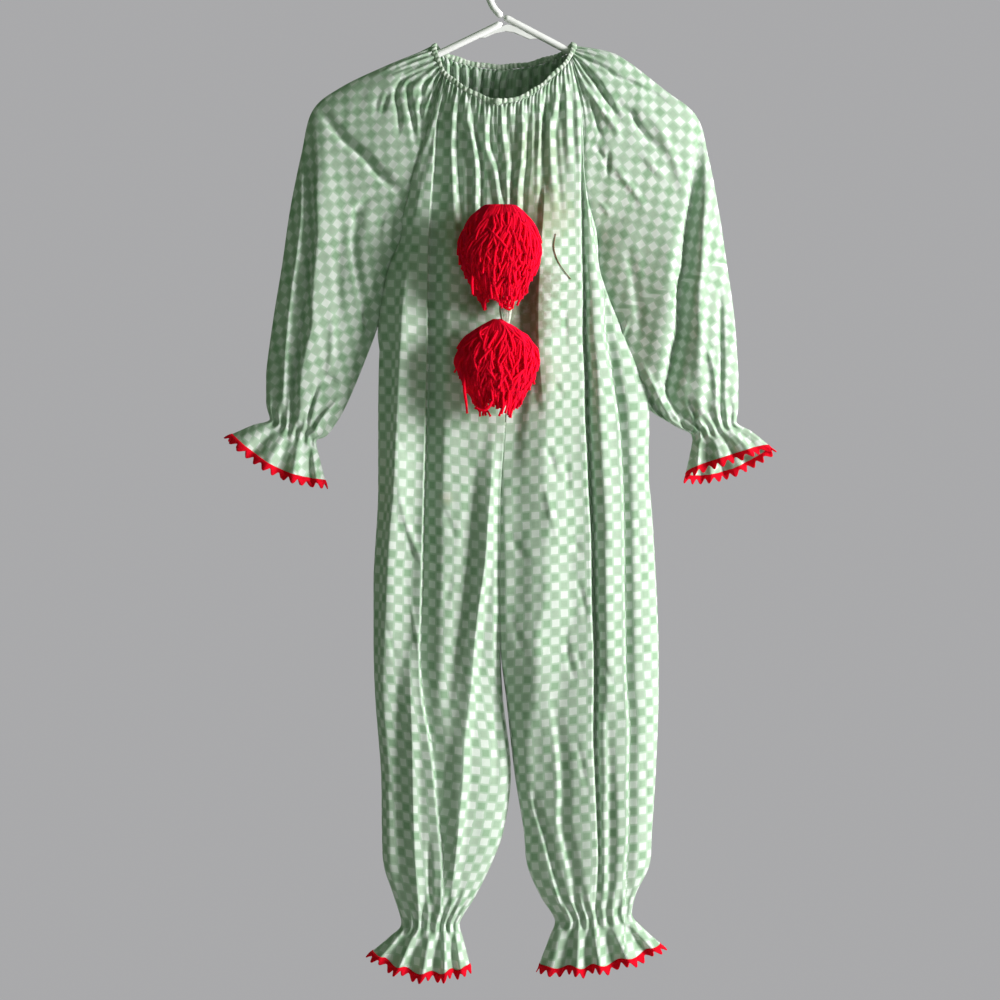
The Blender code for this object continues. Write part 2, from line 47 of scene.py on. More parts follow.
TUBE_RADIUS, HOOK_RADIUS = 3.8, 24.0
SKIN = 0.55            # thickness of the shown cloth
CELL = 9.66            # one cell of the woven check
RNG = np.random.default_rng(20)

# ------------------------------------------------------------ cutting tables
Ring = namedtuple("Ring", "place x y z down")
NECK_RING = [
    Ring("left_end", -77.0, 0.0, -112.0, 26),
    Ring("left_front_raglan", -65.0, -19.0, -144.0, 62),
    Ring("left_front", -38.0, -32.0, -166.0, 78),
    Ring("centre_front", -8.0, -37.0, -178.0, 82),
    Ring("right_front", 24.0, -33.0, -170.0, 78),
    Ring("right_mid", 53.0, -22.0, -146.0, 66),
    Ring("right_front_raglan", 69.0, -12.0, -127.0, 50),
    Ring("right_end", 74.0, 0.0, -110.0, 28),
    Ring("right_back_raglan", 66.0, 11.0, -116.0, 50),
    Ring("right_back", 38.0, 20.0, -125.0, 76),
    Ring("centre_back", -2.0, 24.0, -130.0, 80),
    Ring("left_back", -42.0, 19.0, -126.0, 76),
    Ring("left_back_raglan", -69.0, 10.0, -117.0, 50),
]
Half = namedtuple("Half", "place x_out z_out x_in z_in front back rim open_in bow")
LEFT_HALF = [
    Half("neck", -66.0, -146.5, -8.0, -181.5, 37, 24, 19, 1.0, 0),
    Half("yoke", -80.0, -196.0, -8.0, -216.0, 33, 23, 23, 1.0, 0),
    Half("chest", -98.0, -252.0, -7.0, -260.0, 31, 22, 22, 1.0, 0),
    Half("scye", -107.0, -290.0, -6.0, -292.0, 30, 21, 13, 1.0, 0),
    Half("underarm", -107.5, -320.0, -5.0, -320.0, 30, 21, 0, 1.0, 0),
    Half("rib", -121.0, -357.0, -4.0, -357.0, 30, 21, 0, 1.0, 0),
    Half("high_waist", -134.0, -421.0, -1.0, -421.0, 30, 21, 0, 1.0, 0),
    Half("waist", -137.0, -500.0, 1.0, -500.0, 30, 21, 0, 1.0, 0),
    Half("high_hip", -137.0, -596.0, -5.0, -596.0, 31, 22, 0, 1.0, 0),
    Half("hip", -142.0, -686.0, -5.0, -686.0, 32, 23, 0, 1.0, 0),
    Half("seat", -142.0, -760.0, -5.0, -760.0, 33, 24, 0, 0.7, 0),
    Half("fork", -140.0, -818.0, -2.0, -818.0, 34, 25, 0, 0.0, 0),
    Half("thigh", -134.0, -895.0, 6.5, -895.0, 33, 25, 0, 0.0, 0),
    Half("knee", -133.0, -957.0, -1.0, -957.0, 31, 24, 0, 0.0, 0),
    Half("calf", -131.0, -996.0, -15.0, -996.0, 28, 22, 0, 0.0, 0),
    Half("shin", -120.0, -1030.0, -32.0, -1030.0, 24, 19, 0, 0.0, 0),
    Half("ankle_gather", -112.0, -1059.0, -49.0, -1059.0, 17, 14, 0, 0.0, 0),
    Half("ruffle", -124.0, -1073.0, -45.0, -1076.0, 22, 19, 0, 0.0, -4),
    Half("ankle_hem", -143.0, -1089.0, -38.0, -1103.0, 30, 26, 0, 0.0, -12),
]
RIGHT_HALF = [
    Half("neck", 70.5, -129.5, -8.0, -181.5, 37, 24, 12, 1.0, 0),
    Half("yoke", 82.0, -184.0, -8.0, -216.0, 33, 23, 22, 1.0, 0),
    Half("chest", 85.0, -250.0, -7.0, -260.0, 31, 22, 22, 1.0, 0),
    Half("scye", 91.0, -290.0, -6.0, -292.0, 30, 21, 13, 1.0, 0),
    Half("underarm", 96.0, -320.0, -5.0, -320.0, 30, 21, 0, 1.0, 0),
    Half("rib", 98.0, -357.0, -4.0, -357.0, 30, 21, 0, 1.0, 0),
    Half("high_waist", 119.0, -421.0, -1.0, -421.0, 30, 21, 0, 1.0, 0),
    Half("waist", 144.0, -500.0, 1.0, -500.0, 30, 21, 0, 1.0, 0),
    Half("high_hip", 157.0, -596.0, -5.0, -596.0, 31, 22, 0, 1.0, 0),
    Half("hip", 163.0, -686.0, -5.0, -686.0, 32, 23, 0, 1.0, 0),
    Half("seat", 166.0, -760.0, -5.0, -760.0, 33, 24, 0, 0.7, 0),
    Half("fork", 166.0, -818.0, 1.5, -818.0, 34, 25, 0, 0.0, 0),
    Half("thigh", 163.0, -895.0, 10.0, -895.0, 33, 25, 0, 0.0, 0),
    Half("knee", 159.0, -957.0, 20.0, -957.0, 31, 24, 0, 0.0, 0),
    Half("calf", 156.0, -996.0, 24.0, -996.0, 28, 22, 0, 0.0, 0),
    Half("shin", 142.0, -1026.0, 38.0, -1029.0, 24, 19, 0, 0.0, 0),
    Half("ankle_gather", 137.0, -1049.0, 54.0, -1056.0, 17, 14, 0, 0.0, 0),
    Half("ruffle", 148.0, -1063.0, 48.0, -1074.0, 22, 19, 0, 0.0, -3),
    Half("ankle_hem", 168.0, -1081.0, 37.0, -1103.0, 30, 26, 0, 0.0, -8),
]
Sleeve = namedtuple("Sleeve", "place x_top z_top x_in z_in front back rim bow")
LEFT_SLEEVE = [
    Sleeve("neck", -80.0, -113.5, -66.0, -146.5, 18, 10, 19, 0),
    Sleeve("yoke", -128.0, -133.0, -80.0, -196.0, 23, 17, 23, 0),
    Sleeve("shoulder", -178.0, -157.0, -98.0, -252.0, 24, 18, 22, 0),
    Sleeve("point", -208.0, -182.0, -107.0, -290.0, 23, 18, 13, 0),
    Sleeve("underarm", -220.0, -229.0, -110.5, -320.0, 22, 17, 0, 0),
    Sleeve("biceps", -232.0, -288.0, -126.0, -357.0, 21, 17, 0, 0),
    Sleeve("arm", -241.0, -350.0, -134.0, -404.0, 21, 16, 0, 0),
    Sleeve("elbow", -250.0, -405.0, -150.0, -449.0, 20, 16, 0, 0),
    Sleeve("forearm", -258.0, -465.0, -172.0, -501.0, 18, 15, 0, 0),
    Sleeve("low_arm", -258.0, -497.0, -191.0, -531.0, 16, 13, 0, 0),
    Sleeve("wrist_gather", -254.0, -515.0, -204.0, -539.0, 13, 11, 0, 0),
    Sleeve("ruffle", -272.0, -521.0, -200.0, -558.0, 17, 15, 0, -5),
    Sleeve("wrist_hem", -295.0, -531.0, -194.0, -581.0, 24, 21, 0, -12),
]
RIGHT_SLEEVE = [
    Sleeve("neck", 77.0, -112.5, 70.5, -129.5, 11, 10, 12, 0),
    Sleeve("yoke", 120.0, -121.0, 82.0, -184.0, 22, 17, 22, 0),
    Sleeve("shoulder", 172.0, -159.0, 85.0, -250.0, 24, 18, 22, 0),
    Sleeve("point", 207.0, -188.0, 91.0, -290.0, 23, 18, 13, 0),
    Sleeve("underarm", 220.0, -233.0, 99.0, -320.0, 22, 17, 0, 0),
    Sleeve("biceps", 231.0, -290.0, 102.0, -357.0, 21, 17, 0, 0),
    Sleeve("arm", 240.0, -350.0, 119.0, -404.0, 21, 16, 0, 0),
    Sleeve("elbow", 248.0, -408.0, 136.0, -452.0, 20, 16, 0, 0),
    Sleeve("forearm", 252.0, -468.0, 164.0, -500.0, 18, 15, 0, 0),
    Sleeve("low_arm", 252.0, -500.0, 188.0, -522.0, 16, 13, 0, 0),
    Sleeve("wrist_gather", 250.0, -518.0, 203.0, -532.0, 13, 11, 0, 0),
    Sleeve("ruffle", 266.0, -528.0, 200.0, -551.0, 18, 16, 0, -2),
    Sleeve("wrist_hem", 286.0, -545.0, 195.0, -574.0, 25, 23, 0, -6),
]

# ---------------------------------------------------------------- the camera
# A view square on to the front, 2.5 m off: one picture step of the fold chart
# is 1.08 mm in the plane of the hanger.
STEP, EYE_X, EYE_Y, EYE_Z = 1.08, -5.4, -2500.0, -602.1


def chart(x, y, z):
    """Where a point shows in the view: columns to the right and rows down."""
    s = -EYE_Y / (y - EYE_Y)
    return 500.0 + (x - EYE_X) * s / STEP, 500.0 - (z - EYE_Z) * s / STEP


# --------------------------------------------------------------- small tools
def smooth(x):
    x = np.clip(x, 0.0, 1.0)
    return x * x * (3.0 - 2.0 * x)


def table(rows, name, t, closed=False):
    """A column of a table at the row numbers t, on a smooth curve through the rows."""
    v = np.array([getattr(r, name) for r in rows], float)
    t = np.asarray(t, float)
    n = len(v)
    if closed:
        i = np.floor(t).astype(int)
        a, b, c, d = (v[(i + k) % n] for k in (-1, 0, 1, 2))
    else:
        i = np.clip(np.floor(t).astype(int), 0, n - 2)
        a, b, c, d = (v[np.clip(i + k, 0, n - 1)] for k in (-1, 0, 1, 2))
    f = t - i
    m1, m2 = 0.5 * (c - a), 0.5 * (d - b)
    if not closed:
        m1 = np.where((c - b) * m1 <= 0, 0.0, m1)
        m2 = np.where((c - b) * m2 <= 0, 0.0, m2)
    return ((2 * f ** 3 - 3 * f ** 2 + 1) * b + (f ** 3 - 2 * f ** 2 + f) * m1
            + (-2 * f ** 3 + 3 * f ** 2) * c + (f ** 3 - f ** 2) * m2)


def row_number(rows, place):
    return [row.place for row in rows].index(place)


def ring_frame(t):
    x, y, z = (table(NECK_RING, c, t, True) for c in "xyz")
    down = np.radians(table(NECK_RING, "down", t, True))
    ox, oy = x + 2.0, 1.6 * y
    size = np.hypot(ox, oy) + 1e-9
    middle = np.stack([x, y, z], -1)
    fall = np.stack([ox / size * np.cos(down), oy / size * np.cos(down), -np.sin(down)], -1)
    return middle, fall


def ring_edge(t):
    middle, fall = ring_frame(t)
    return middle + fall * (CASING_WIDTH / 2 + SEAM)


def section(u, open_in, power=2.3):
    rise = (1.0 - (1.0 - u) ** power) ** (1.0 / power)
    close = np.clip(1.0 - u ** power, 0.0, 1.0) ** (1.0 / power)
    return rise, open_in + (1.0 - open_in) * close


def back_lift(side, t):
    return smooth(1 - t / 3.0) * 20.0 * (1 if side < 0 else 0.5)


def hashed(i, j, seed):
    h = (i.astype(np.int64) * 374761393 + j.astype(np.int64) * 668265263 + seed * 974711) & 0xFFFFFFFF
    h = ((h ^ (h >> 13)) * 1274126177) & 0xFFFFFFFF
    return ((h ^ (h >> 16)) & 0xFFFF) / 32767.5 - 1.0


def noise(x, y, seed=0):
    """Smooth value noise, about -1 to 1, one lump per unit."""
    i, j = np.floor(x), np.floor(y)
    f, g = smooth(x - i), smooth(y - j)
    a, b = hashed(i, j, seed), hashed(i + 1, j, seed)
    c, d = hashed(i, j + 1, seed), hashed(i + 1, j + 1, seed)
    return (a + (b - a) * f) * (1 - g) + (c + (d - c) * f) * g


# ---------------------------------------------------------------- the folds
# A fold is a line down the cloth with its own height at every mark: (column,
# row, height), in steps of the chart and millimetres.  `left` and `right` are
# the widths of its two flanks in steps, and `sharp` says how hard its top is.
class Fold:
    def __init__(self, marks, left, right, sharp=0.0):
        m = np.array(marks, float)
        d = np.r_[0.0, np.cumsum(np.hypot(np.diff(m[:, 0]), np.diff(m[:, 1])))]
        n = max(8, int(d[-1] / 6))
        s = np.linspace(0, d[-1], n)
        self.x = self._curve(d, m[:, 0], s)
        self.y = self._curve(d, m[:, 1], s)
        self.h = np.interp(s, d, m[:, 2])
        self.left, self.right, self.sharp = left, right, sharp
        self.upright = np.all(np.diff(self.y) > 0) and (d[-1] > 1.0) and \
            np.abs(np.diff(self.x)).max() < 0.45 * np.diff(self.y).min()
        pad = max(left, right) + 2
        self.box = (self.x.min() - pad, self.x.max() + pad, self.y.min() - pad, self.y.max() + pad)

    @staticmethod
    def _curve(d, v, s):
        if len(d) < 3:
            return np.interp(s, d, v)
        g = np.gradient(v, d)
        i = np.clip(np.searchsorted(d, s, side="right") - 1, 0, len(d) - 2)
        w = d[i + 1] - d[i]
        f = (s - d[i]) / w
        return ((2 * f ** 3 - 3 * f ** 2 + 1) * v[i] + (f ** 3 - 2 * f ** 2 + f) * g[i] * w
                + (-2 * f ** 3 + 3 * f ** 2) * v[i + 1] + (f ** 3 - f ** 2) * g[i + 1] * w)

    def where(self, X, Y):
        """Signed distance to the right of the line, and the height there."""
        if self.upright:
            c = np.interp(Y, self.y, self.x)
            h = np.interp(Y, self.y, self.h, left=0.0, right=0.0)
            slope = np.interp(Y, self.y, np.gradient(self.x, self.y))
            return (X - c) / np.sqrt(1 + slope ** 2), h
        best = np.full(X.shape, 1e9)
        side = np.zeros(X.shape)
        high = np.zeros(X.shape)
        for x0, y0, h0, x1, y1, h1 in zip(self.x, self.y, self.h, self.x[1:], self.y[1:], self.h[1:]):
            dx, dy = x1 - x0, y1 - y0
            f = np.clip(((X - x0) * dx + (Y - y0) * dy) / (dx * dx + dy * dy), 0, 1)
            ex, ey = X - x0 - f * dx, Y - y0 - f * dy
            e = np.hypot(ex, ey)
            near = e < best
            best = np.where(near, e, best)
            side = np.where(near, np.sign(ex * dy - ey * dx), side)
            high = np.where(near, h0 + (h1 - h0) * f, high)
        return best * np.where(side == 0, 1, side), high

    def add(self, X, Y, out, size=1.0):
        near = (X > self.box[0]) & (X < self.box[1]) & (Y > self.box[2]) & (Y < self.box[3])
        if not near.any():
            return
        s, h = self.where(X[near], Y[near])
        f = np.clip(1.0 - np.where(s < 0, -s / self.left, s / self.right), 0, 1)
        out[near] += size * h * (self.sharp * f * f * (2 - f) + (1 - self.sharp) * f * f * (3 - 2 * f))


def edge(marks, crown, drop, run, deep=1.15, slit=1.5, sharp=1.0):
    """A rolled pleat edge that looks right: it falls off on its right into a slit."""
    high = [(x, y, h * 0.14) for x, y, h in marks]
    low = [(x + slit, y, -h * 0.86 * deep) for x, y, h in marks]
    return [Fold(high, crown * 1.6, drop, sharp), Fold(low, slit, run, 0.55)]


def pleat(marks, left, right, deep=0.7):
    """A soft standing pleat: its right flank takes the light, and a hollow lies beside it."""
    high = [(x - 1.0, y, h * 0.85) for x, y, h in marks]
    low = [(x + right * 0.85, y, -h * deep) for x, y, h in marks]
    return [Fold(high, left, right, 0.35), Fold(low, right * 0.8, left * 0.8, 0.3)]


FRONT = []
# side strip and first pleat
FRONT += [Fold([(428, 150, 0), (416, 215, 4), (410, 250, 7), (403, 300, 14), (400, 351, 18), (397.5, 402, 19),
                (395, 453, 19), (392.5, 499, 18), (389, 536, 16.5), (386, 592, 15), (384, 634, 14),
                (382, 676, 11), (382, 730, 9), (383, 812, 8), (386, 862, 6), (393, 905, 2.5), (402, 925, 0)],
               9, 29, 0.75)]
FRONT += edge([(443.5, 86, 2.5), (438, 110, 5), (434.8, 134, 6.5), (433.5, 162, 7.5), (431.3, 190, 8.5), (429.4, 218, 9),
               (427, 300, 9.5), (426.8, 351, 9.5), (425.5, 389, 9.5), (424.8, 428, 9), (423, 500, 8.5),
               (422, 543, 8.5), (420.5, 606, 8.5), (419, 660, 8.5), (421.4, 697, 7), (427, 730, 6),
               (431, 755, 6), (437, 813, 6), (441.6, 871, 5), (441, 904, 3), (441, 918, 0)], 14, 1.4, 20, deep=1.0)
FRONT += [Fold([(398, 470, 0), (401, 500, 1.5), (407, 525, 2.5), (416, 550, 2), (421, 562, 0)], 3, 6, 0.6),
          Fold([(405, 573, 0), (409, 590, 2), (413, 615, 2.5), (417, 640, 1.5), (419, 652, 0)], 3, 4, 0.6)]
FRONT += [Fold([(449, 170, 0), (448.5, 240, 3), (448, 300, 4), (446, 380, 4), (443.5, 480, 3.5), (443, 560, 2.5),
                (444, 640, 1.5), (443, 690, 0)], 17, 26, 0.4)]
# the long trough and crest left of the centre seam
FRONT += [Fold([(492, 430, 0), (491, 480, 4.5), (488, 522, 6.5), (485, 564, 7.5), (479, 606, 7.5), (475, 641, 7.5),
                (471, 690, 7), (464.5, 746, 6.5), (463, 780, 6.5), (460, 813, 6), (457, 846, 5.5),
                (453, 879, 5), (450, 905, 2.5), (448, 920, 0)], 17, 9, 0.8),
          Fold([(474, 455, 0), (474, 480, -1.5), (472, 522, -2.5), (469, 550, -3), (464, 606, -3), (456, 655, -3),
                (449, 699, -2), (446, 730, 0)], 14, 7, 0.3),
          Fold([(503, 425, 0), (499, 479, -1.5), (498.5, 499, -3), (498.5, 560, -4), (498, 640, -4), (497, 700, -4),
                (496, 750, -3), (495, 790, 0)], 5, 7, 0.4)]
# right of the centre seam: one broad climb to a crest
FRONT += [Fold([(553, 290, 0), (551, 364, 4), (549, 402, 6), (545, 447, 7.5), (544, 480, 8), (549, 515, 8), (546, 543, 8),
                (543.5, 559, 8), (545.6, 592, 8), (543, 613, 8), (536.5, 634, 8), (537, 662, 8), (535, 699, 7),
                (538, 730, 3), (540, 760, 0)], 42, 34, 0.55)]
FRONT += [Fold([(545, 160, 0), (544, 200, 4), (541, 250, 7), (538.3, 300, 8.5), (538.3, 338, 8), (541, 380, 4.5), (545, 420, 0)],
               8, 40, 0.7),
          Fold([(530, 180, 0), (527, 230, -3), (526, 300, -5), (526, 338, -5), (522, 390, -4), (516, 440, -2), (512, 480, 0)],
               16, 10, 0.2)]
FRONT += edge([(576, 84, 2), (579, 110, 4), (579.6, 130, 5.5), (580, 186, 7), (580, 228, 7.5), (581.4, 300, 8), (581.6, 338, 8),
               (583.5, 377, 9), (584, 415, 9), (586, 453, 9), (587.5, 490, 9), (589.8, 529, 9), (590.5, 564, 9),
               (591, 606, 9), (592.6, 648, 9), (592.6, 699, 9), (592, 730, 8.5), (593.7, 780, 8), (596, 829, 7),
               (597, 862, 6), (595.4, 887, 4), (594.5, 905, 2), (595, 920, 0)], 20, 1.3, 13, deep=1.0, slit=1.6)
FRONT += [Fold([(582, 110, 0), (583, 150, -5), (583.5, 228, -7), (585, 300, -8), (585, 338, -8), (587, 377, -9), (587.6, 415, -9),
                (589.6, 453, -9), (591, 490, -9), (593.3, 529, -9), (594, 564, -9), (594.6, 606, -9), (596.2, 648, -9), (596.2, 699, -9),
                (595.6, 730, -8), (597.3, 780, -7), (599.5, 829, -5), (600, 870, -3), (600, 905, 0)], 2.6, 4.2, 0.3),
          Fold([(592, 290, 0), (592, 320, 3), (596, 351, 4), (600, 402, 5), (603, 453, 5), (606, 520, 5), (607, 620, 5), (608, 690, 3), (610, 720, 0)], 9, 17, 0.4)]
FRONT += edge([(583, 130, 0), (585.5, 180, 3), (589, 215, 4), (594, 250, 5), (602, 300, 6), (602.5, 325, 7), (606.5, 351, 8),
               (611, 376, 9), (615.4, 402, 9.5), (618.6, 428, 9.5), (620, 453, 9.5), (622, 491, 9.5), (623, 560, 9),
               (624, 620, 9), (625, 680, 8.5), (627.7, 730, 8), (626.9, 780, 7.5), (626.9, 829, 7), (624.4, 871, 5.5),
               (623.5, 896, 3.5), (622, 915, 0)], 12, 1.4, 11, deep=0.9)
FRONT += [Fold([(606, 690, 0), (609, 760, -3), (610, 800, -5), (610, 860, -5.5), (609, 895, -4), (608, 918, 0)], 5, 9, 0.3),
          Fold([(602, 790, 0), (602, 812, 2.5), (603, 870, 2.5), (603, 905, 0)], 5, 4, 0.5)]
# left leg
FRONT += [Fold([(409, 640, 0), (410, 680, 3), (411.5, 720, 4.5), (412.5, 763, 5), (413.5, 812, 5), (415.5, 862, 5),
                (418, 896, 4), (420, 918, 0)], 13, 9, 0.8),
          Fold([(396, 660, 0), (397, 700, -2.5), (398, 763, -3), (400, 812, -3.5), (402, 862, -3.5), (408, 904, -2), (410, 918, 0)],
               14, 6, 0.3),
          Fold([(428, 835, 0), (429, 860, -3), (430, 890, -4), (431, 918, 0)], 4, 5, 0.3),
          Fold([(403, 880, 0), (405, 905, 3), (408, 925, 0)], 5, 5, 0.5)]
# right leg
FRONT += edge([(546, 690, 0), (553, 738, 5), (555.6, 763, 6.5), (557, 796, 6.5), (556, 821, 6.5), (560.5, 846, 6.5),
               (566, 871, 5.5), (572, 901, 3.5), (576, 918, 0)], 26, 3.0, 12, deep=0.8, slit=6.0, sharp=0.7)
FRONT += edge([(529, 785, 0), (531.5, 804, 3), (541.5, 837, 4.5), (550, 871, 4.5), (558, 900, 3), (563, 918, 0)],
              12, 3.0, 8, slit=3.5)
FRONT += [Fold([(524, 690, 0), (525, 713, 3), (526, 760, 4), (526, 790, 3), (528, 815, 0)], 20, 16, 0.4)]
# pleats of the yoke
FRONT += pleat([(455, 88, 2), (453.3, 100, 4), (453, 134, 4.5), (452, 150, 4.5), (453.5, 176, 4.5), (455, 204, 3.5), (456, 235, 2), (456, 265, 0)], 6, 6.2)
FRONT += [Fold([(461, 88, 1), (457, 104, 2.2), (455.5, 125, 1.5), (455, 140, 0)], 2.5, 2.5, 0.5)]
FRONT += pleat([(463, 95, 2), (467, 109, 4.5), (470, 128.6, 5.5), (473, 141, 6), (475.8, 155, 6.5), (477, 176, 6.5),
               (476.5, 204, 6), (476.5, 240, 4), (478, 280, 2), (479, 305, 0)], 6, 6.2, deep=0.95)
FRONT += pleat([(483, 97, 2), (485.6, 120, 4), (485.8, 134, 4.5), (487, 148, 4.5), (494.5, 169, 4.5), (498, 190, 4.5),
               (500, 206, 4), (502, 235, 0)], 6, 6.2)
FRONT += [Fold([(487, 98, 1), (490, 113, 2.2), (492.6, 128.6, 2.4), (494, 142, 2), (495, 160, 0)], 3, 2, 0.7)]
FRONT += pleat([(499, 104, 2), (501, 113, 3), (503.5, 134, 3.5), (508, 162, 4), (507.3, 183, 4), (507, 204, 4), (506, 235, 0)], 6, 6.2)
FRONT += [Fold([(508, 103, 1), (508.5, 125, 2), (508.5, 150, 1.5), (508.5, 165, 0)], 2.5, 2, 0.5)]
FRONT += pleat([(521, 98, 2), (524, 113, 4), (524, 134, 5), (523, 148, 5), (522, 162, 5), (519.5, 183, 5), (518.6, 204, 5),
               (517, 235, 2), (516, 260, 0)], 6, 6.2)
FRONT += pleat([(530, 92, 1.5), (532, 105, 3), (532, 134, 3), (531, 146, 1.5), (530, 158, 0)], 6, 6.2)
FRONT += pleat([(538, 88, 2), (539.6, 105, 4.5), (539.6, 134, 5), (539.5, 155, 4), (539.3, 180, 3), (539, 205, 0)], 6, 6.2, deep=0.95)
FRONT += pleat([(557, 78, 1.5), (556, 106, 3.5), (551.5, 125, 4), (551.5, 148, 4), (552.5, 170, 3), (555, 200, 1.5), (556, 225, 0)], 6, 6.2)
FRONT += pleat([(567, 72, 1), (568, 100, 2.5), (568, 134, 2.5), (570, 155, 1.5), (573, 180, 0)], 6, 6.2)
FRONT += [Fold([(545, 88, 0), (545.5, 110, -3), (543, 134, -3), (541, 160, -3), (540.5, 200, -3), (538, 240, -1), (536, 260, 0)], 4, 4, 0.3)]
# creases
for marks, left, right in (
        ([(395, 506, 0), (398, 520, -1.8), (402, 538, 0)], 3, 4),
        ([(406, 541, 0), (412, 553, -1.6), (419, 565, 0)], 3, 4),
        ([(404, 574, 0), (409, 590, -2.0), (412, 606, -2.2), (417, 645, 0)], 4, 4),
        ([(383, 612, 0), (389, 636, -2), (397, 664, 0)], 5, 4),
        ([(386, 618, 0), (389, 640, 1.6), (393, 664, 0)], 5, 4),
        ([(564, 304, 0), (565, 325, -2), (566, 354, 0)], 4, 5),
        ([(553, 376, 0), (558, 388, -2), (563, 401, 0)], 4, 4),
        ([(545, 444, 0), (551, 460, -3.2), (558, 482, 0)], 5, 6),
        ([(566, 450, 0), (567, 475, -1.8), (569, 503, 0)], 4, 5),
        ([(544, 484, 0), (551, 513, 2.2), (560, 546, 0)], 5, 5),
        ([(570, 532, 0), (576, 544, -2), (585, 558, 0)], 4, 4),
        ([(575, 570, 0), (583, 599, -2.2), (587, 630, 0)], 5, 4),
        ([(566, 624, 0), (568, 655, -2.6), (577, 687, 0)], 5, 5),
        ([(577, 644, 0), (580, 660, -1.6), (584, 676, 0)], 3, 3),
        ([(597, 652, 0), (606, 671, -2.4), (617, 692, 0)], 4, 4),
        ([(646, 666, 0), (651, 679, -1.8), (657, 693, 0)], 4, 4),
        ([(621, 404, 0), (625, 409, -1.6), (629, 415, 0)], 3, 3),
        ([(436, 500, 0), (448, 520, -1.4), (458, 546, 0)], 6, 5),
        ([(455, 560, 0), (448, 590, -1.4), (440, 622, 0)], 5, 6),
        ([(505, 520, 0), (518, 548, -1.5), (536, 575, 0)], 7, 6),
        ([(508, 610, 0), (520, 640, -1.6), (530, 672, 0)], 6, 6),
        ([(600, 520, 0), (606, 545, -1.2), (613, 575, 0)], 4, 4),
        ([(385, 760, 0), (390, 790, -1.4), (397, 815, 0)], 4, 4),
        ([(450, 742, 0), (446, 775, -1.6), (447, 812, 0)], 5, 5),
        ([(575, 735, 0), (582, 765, -1.8), (588, 800, 0)], 4, 5),
        ([(640, 745, 0), (646, 780, -1.6), (648, 820, 0)], 5, 5),
        ([(635, 500, 0), (640, 540, -1.6), (642, 590, 0)], 5, 5),
        ([(393, 420, 0), (404, 450, -1.3), (418, 470, 0)], 5, 5),
        ([(405, 330, 0), (410, 352, -1.2), (420, 372, 0)], 4, 4)):
    FRONT.append(Fold(marks, left, right, 0.6))

BACK = []
BACK += edge([(446, 90, 3), (440, 140, 6), (436, 210, 8), (430, 300, 9), (424, 400, 9), (420, 520, 8.5), (418, 640, 8),
              (420, 740, 7), (428, 830, 6), (434, 890, 4), (436, 918, 0)], 24, 2.5, 20)
BACK += edge([(478, 80, 2), (476, 120, 4), (472, 190, 5), (468, 280, 4), (466, 360, 2), (466, 420, 0)], 14, 2.5, 12)
BACK += edge([(497, 76, 2), (498, 130, 4), (503, 220, 6), (508, 340, 7), (514, 460, 7), (520, 580, 6), (524, 680, 4), (526, 740, 0)],
             26, 3, 22, deep=0.8)
BACK += edge([(524, 78, 2), (527, 130, 4), (532, 210, 4), (536, 300, 2), (538, 360, 0)], 12, 2.5, 12)
BACK += edge([(545, 82, 2), (552, 130, 5), (560, 200, 7), (570, 300, 8), (580, 400, 9), (588, 520, 9), (596, 640, 8),
              (598, 740, 7), (600, 830, 6), (598, 890, 4), (597, 918, 0)], 30, 2.5, 14)
BACK += edge([(604, 290, 0), (612, 360, 5), (622, 450, 7), (628, 560, 7), (630, 680, 6), (630, 790, 5), (626, 870, 3), (624, 905, 0)],
             14, 2.5, 12)
BACK += [Fold([(398, 280, 0), (394, 350, 4), (390, 450, 5), (386, 560, 4), (384, 660, 4), (384, 780, 4), (390, 870, 3), (398, 915, 0)],
              9, 22, 0.7),
         Fold([(452, 560, 0), (456, 640, 4), (454, 720, 5), (448, 800, 4), (446, 870, 3), (446, 912, 0)], 16, 10, 0.7),
         Fold([(476, 470, 0), (480, 540, -3), (478, 620, -4), (474, 700, -3), (472, 780, 0)], 14, 12, 0.2),
         Fold([(552, 520, 0), (556, 600, 5), (553, 690, 5), (556, 780, 5), (562, 850, 4), (568, 910, 0)], 26, 20, 0.5),
         Fold([(405, 690, 0), (406, 770, -3), (410, 850, -3), (414, 905, 0)], 8, 8, 0.3),
         Fold([(536, 760, 0), (541, 810, -3), (548, 860, -3), (556, 905, 0)], 8, 8, 0.3),
         Fold([(612, 720, 0), (613, 790, -3), (612, 870, -3), (610, 910, 0)], 7, 8, 0.3)]
for marks, left, right in (
        ([(440, 330, 0), (452, 352, -1.8), (462, 380, 0)], 5, 5),
        ([(480, 400, 0), (492, 425, -1.8), (500, 452, 0)], 6, 5),
        ([(540, 430, 0), (548, 460, -2.2), (556, 496, 0)], 5, 6),
        ([(430, 560, 0), (440, 590, -1.8), (446, 622, 0)], 5, 5),
        ([(600, 560, 0), (607, 590, -1.8), (612, 620, 0)], 5, 5),
        ([(495, 600, 0), (505, 640, -2), (512, 682, 0)], 6, 6),
        ([(575, 690, 0), (582, 720, -1.8), (588, 760, 0)], 4, 5),
        ([(392, 540, 0), (399, 566, -1.6), (408, 590, 0)], 5, 5),
        ([(560, 330, 0), (553, 362, -1.6), (548, 395, 0)], 5, 5),
        ([(460, 250, 0), (452, 280, -1.4), (448, 312, 0)], 5, 5)):
    BACK.append(Fold(marks, left, right, 0.6))

